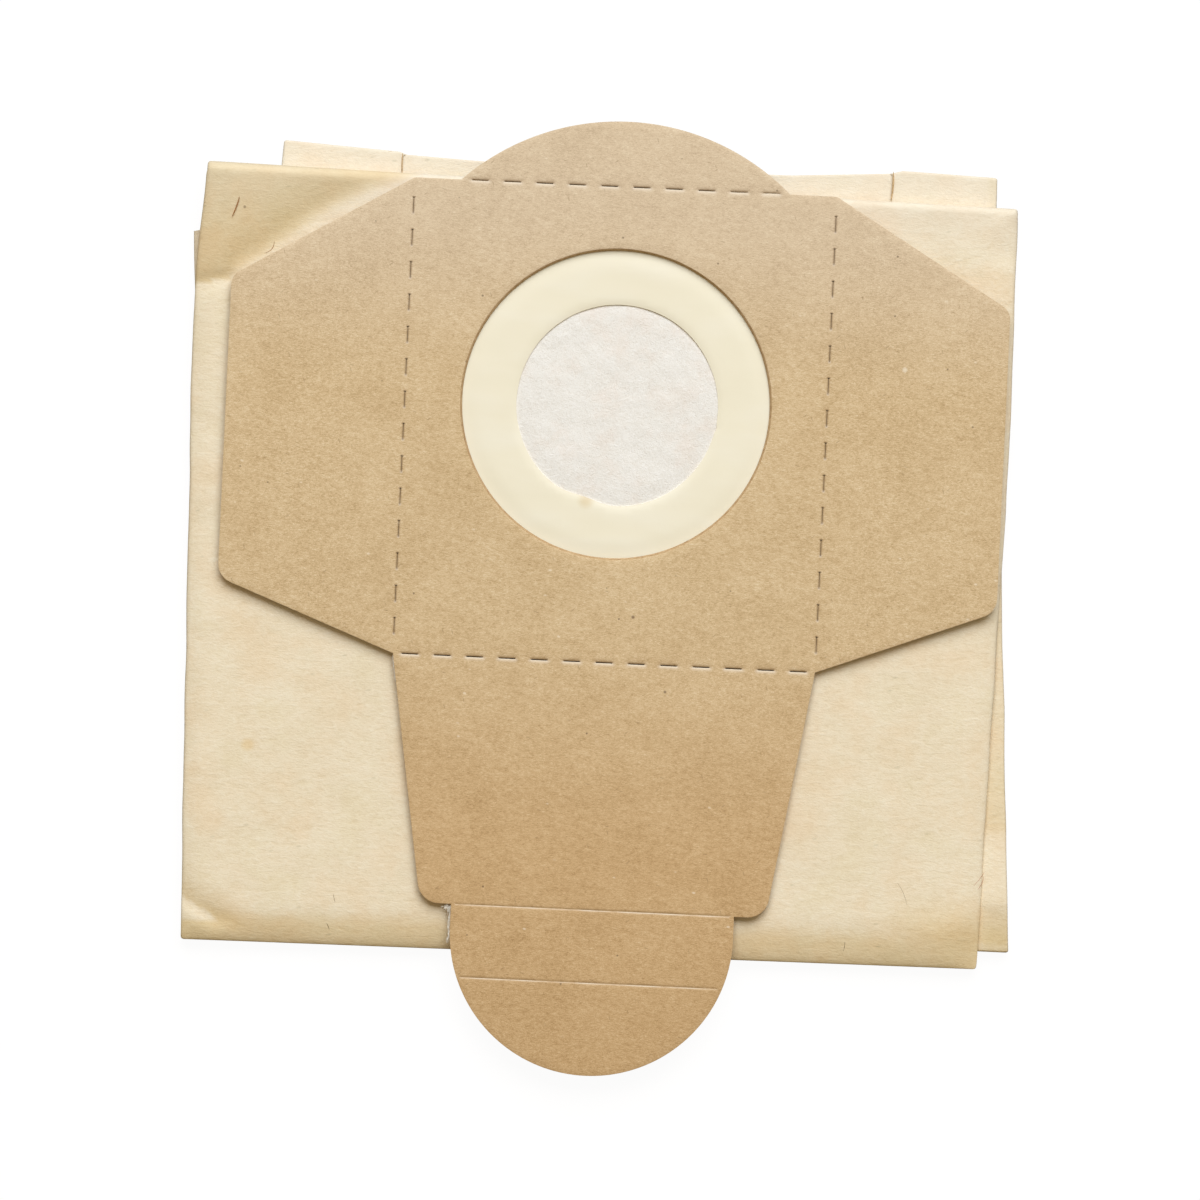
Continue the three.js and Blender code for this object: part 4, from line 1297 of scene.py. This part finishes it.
def hairs(name, material, height, rows):
    points, faces = [], []
    for start, end, bend, radius in rows:
        more, sides_of = hair(start, end, bend, radius, height)
        faces += [[v + len(points) for v in face] for face in sides_of]
        points += more
    piece = mesh_object(name, points, faces)
    piece.data.materials.append(material)
    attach(piece, "root")


def torn_edge():
    """Pale fibres along the left of the tongue's neck, and beside the flap's upper left corner."""
    draw = np.random.default_rng(11)
    rows = []
    for y in np.linspace(-0.1258, -0.1343, 62):
        x = -TONGUE_R - 0.0003 + draw.normal(0, 0.00016)
        lean = draw.normal(0, 0.0002)
        bend = draw.normal(0, 0.1)
        rows.append(((x, y + 0.0005), (x + lean, y - 0.0006), bend, draw.uniform(0.00004, 0.00008)))
    for _ in range(34):
        x, y = -0.0362 + draw.normal(0, 0.0004), -0.1261 + draw.normal(0, 0.00022)
        run = draw.normal(0, 0.0004, 2)
        rows.append(((x, y), (x + run[0] + 0.0003, y + run[1]), draw.normal(0, 0.2), 0.00008))
    for y in np.linspace(-0.0648, -0.0706, 22):
        x = -FRAME_X - 0.0001 + (-FRAME_BOTTOM - y) * (FRAME_X - FLAP_END_X) / (FLAP_END - FRAME_BOTTOM)
        rows.append(((x, y + 0.0004), (x + draw.normal(0, 0.00012), y - 0.0004), 0.0, 0.00006))
    pale = loose_fibre("pale_fibre", 232, 222, 204)
    hairs("torn_fibres", pale, lambda x, y: card_height(x, y) - 0.0003, rows)


def loose_fibres():
    brown = loose_fibre("brown_fibre", 176, 122, 70)
    red = loose_fibre("red_fibre", 204, 136, 104)
    dark = loose_fibre("dark_fibre", 146, 122, 86)
    hairs("paper_fibres", brown, paper_height, [
        ((-0.09515, 0.0470), (-0.09686, 0.0418), 0.03, 0.00015),
        ((-0.0862, 0.0366), (-0.0885, 0.0334), 0.2, 0.00007),
    ])
    hairs("paper_hairs", dark, paper_height, [
        ((0.0750, -0.1149), (0.0776, -0.1204), 0.06, 0.000035),
        ((0.0627, -0.1300), (0.0624, -0.1325), 0.05, 0.00006),
        ((-0.0656, -0.1313), (-0.0648, -0.1330), 0.05, 0.00007),
        ((-0.0636, -0.1262), (-0.0642, -0.1240), 0.03, 0.00005),
    ])
    # Dark tubes along the free edges of the tail panel's folded-in sides and along the curled top edge of the
    # left one: painted shadow lines
    edge = loose_fibre("shadow_line", 218, 184, 136)
    hairs("shadow_lines", edge, lambda x, y: TAIL_SIDE_TOP, [
        ((0.0660, 0.0609), (0.0657, 0.0536), 0.03, 0.00024),
        ((-0.0556, 0.0600), (-0.0555, 0.0545), -0.02, 0.00016),
        ((-0.0611, 0.0597), (-0.0562, 0.0593), 0.12, 0.0001),
    ])
    hairs("red_hairs", red, paper_height, [
        ((0.0963, -0.1122), (0.0949, -0.1157), 0.08, 0.00005),
        ((0.0966, -0.1110), (0.0938, -0.1149), 0.02, 0.00004),
    ])
    torn_edge()


# Studio

def floor_material():
    """White to the camera and in reflections, and a dull paper for the light that falls on it."""
    material = bpy.data.materials.new("floor")
    material.use_nodes = True
    material.node_tree.nodes.clear()
    tree = Nodes(material.node_tree)
    path = tree.add("LightPath")
    seen = path["Is Camera Ray"]
    for kind in ("Is Glossy Ray", "Is Transmission Ray"):
        seen = tree.add("Math", {0: seen, 1: path[kind]}, operation="MAXIMUM")[0]
    strength = tree.add("Math", {0: seen, 1: FLOOR_GLOW}, operation="MULTIPLY")[0]
    glow = tree.add("Emission", {"Color": (1, 1, 1, 1), "Strength": strength})[0]
    paper = tree.add("BsdfDiffuse", {"Color": (*FLOOR_COLOR, 1)})[0]
    tree.add("OutputMaterial", {"Surface": tree.add("AddShader", {0: paper, 1: glow})[0]})
    return material


def studio():
    bpy.ops.mesh.primitive_plane_add(size=8)
    floor = bpy.context.object
    floor.name = "floor"
    floor.data.materials.append(floor_material())

    world = bpy.data.worlds.new("studio")
    bpy.context.scene.world = world
    world.use_nodes = True
    tree = Nodes(world.node_tree)
    fill = tree.nodes["Background"]
    fill.inputs["Color"].default_value = (*FILL_COLOR, 1)
    fill.inputs["Strength"].default_value = FILL
    white = tree.add("Background", {"Color": (1, 1, 1, 1), "Strength": 1.0})[0]
    seen = tree.add("LightPath")["Is Camera Ray"]
    shown = tree.add("MixShader", {"Fac": seen, 1: fill.outputs[0], 2: white})[0]
    tree.put(tree.nodes["World Output"].inputs["Surface"], shown)

    lamp = bpy.data.lights.new("key", "AREA")
    lamp.shape = "RECTANGLE"
    lamp.size = KEY_WIDTH
    lamp.size_y = KEY_HEIGHT
    lamp.energy = KEY_POWER
    lamp.color = KEY_COLOR
    key = bpy.data.objects.new("key", lamp)
    target = Vector((0, -0.04, 0))
    away = Vector((math.sin(KEY_AZIMUTH), math.cos(KEY_AZIMUTH), 0)) * math.cos(KEY_ELEVATION)
    away.z = math.sin(KEY_ELEVATION)
    key.location = target + away * KEY_DISTANCE
    key.rotation_euler = away.to_track_quat("Z", "Y").to_euler()
    bpy.context.scene.collection.objects.link(key)


def camera():
    data = bpy.data.cameras.new("camera")
    data.sensor_width = 36
    data.lens = 36 * CAMERA_DISTANCE / VIEW_WIDTH
    eye = bpy.data.objects.new("camera", data)
    eye.location = (VIEW_X, VIEW_Y, card_top_z + CAMERA_DISTANCE)
    eye.rotation_euler = (0, 0, VIEW_TURN)
    bpy.context.scene.collection.objects.link(eye)
    bpy.context.scene.camera = eye


sides = side_lines()
camera()
studio()
collar_card()
seal_ring()
inner_ply()
paper_bag()
loose_fibres()

bpy.context.scene.view_settings.view_transform = "Standard"
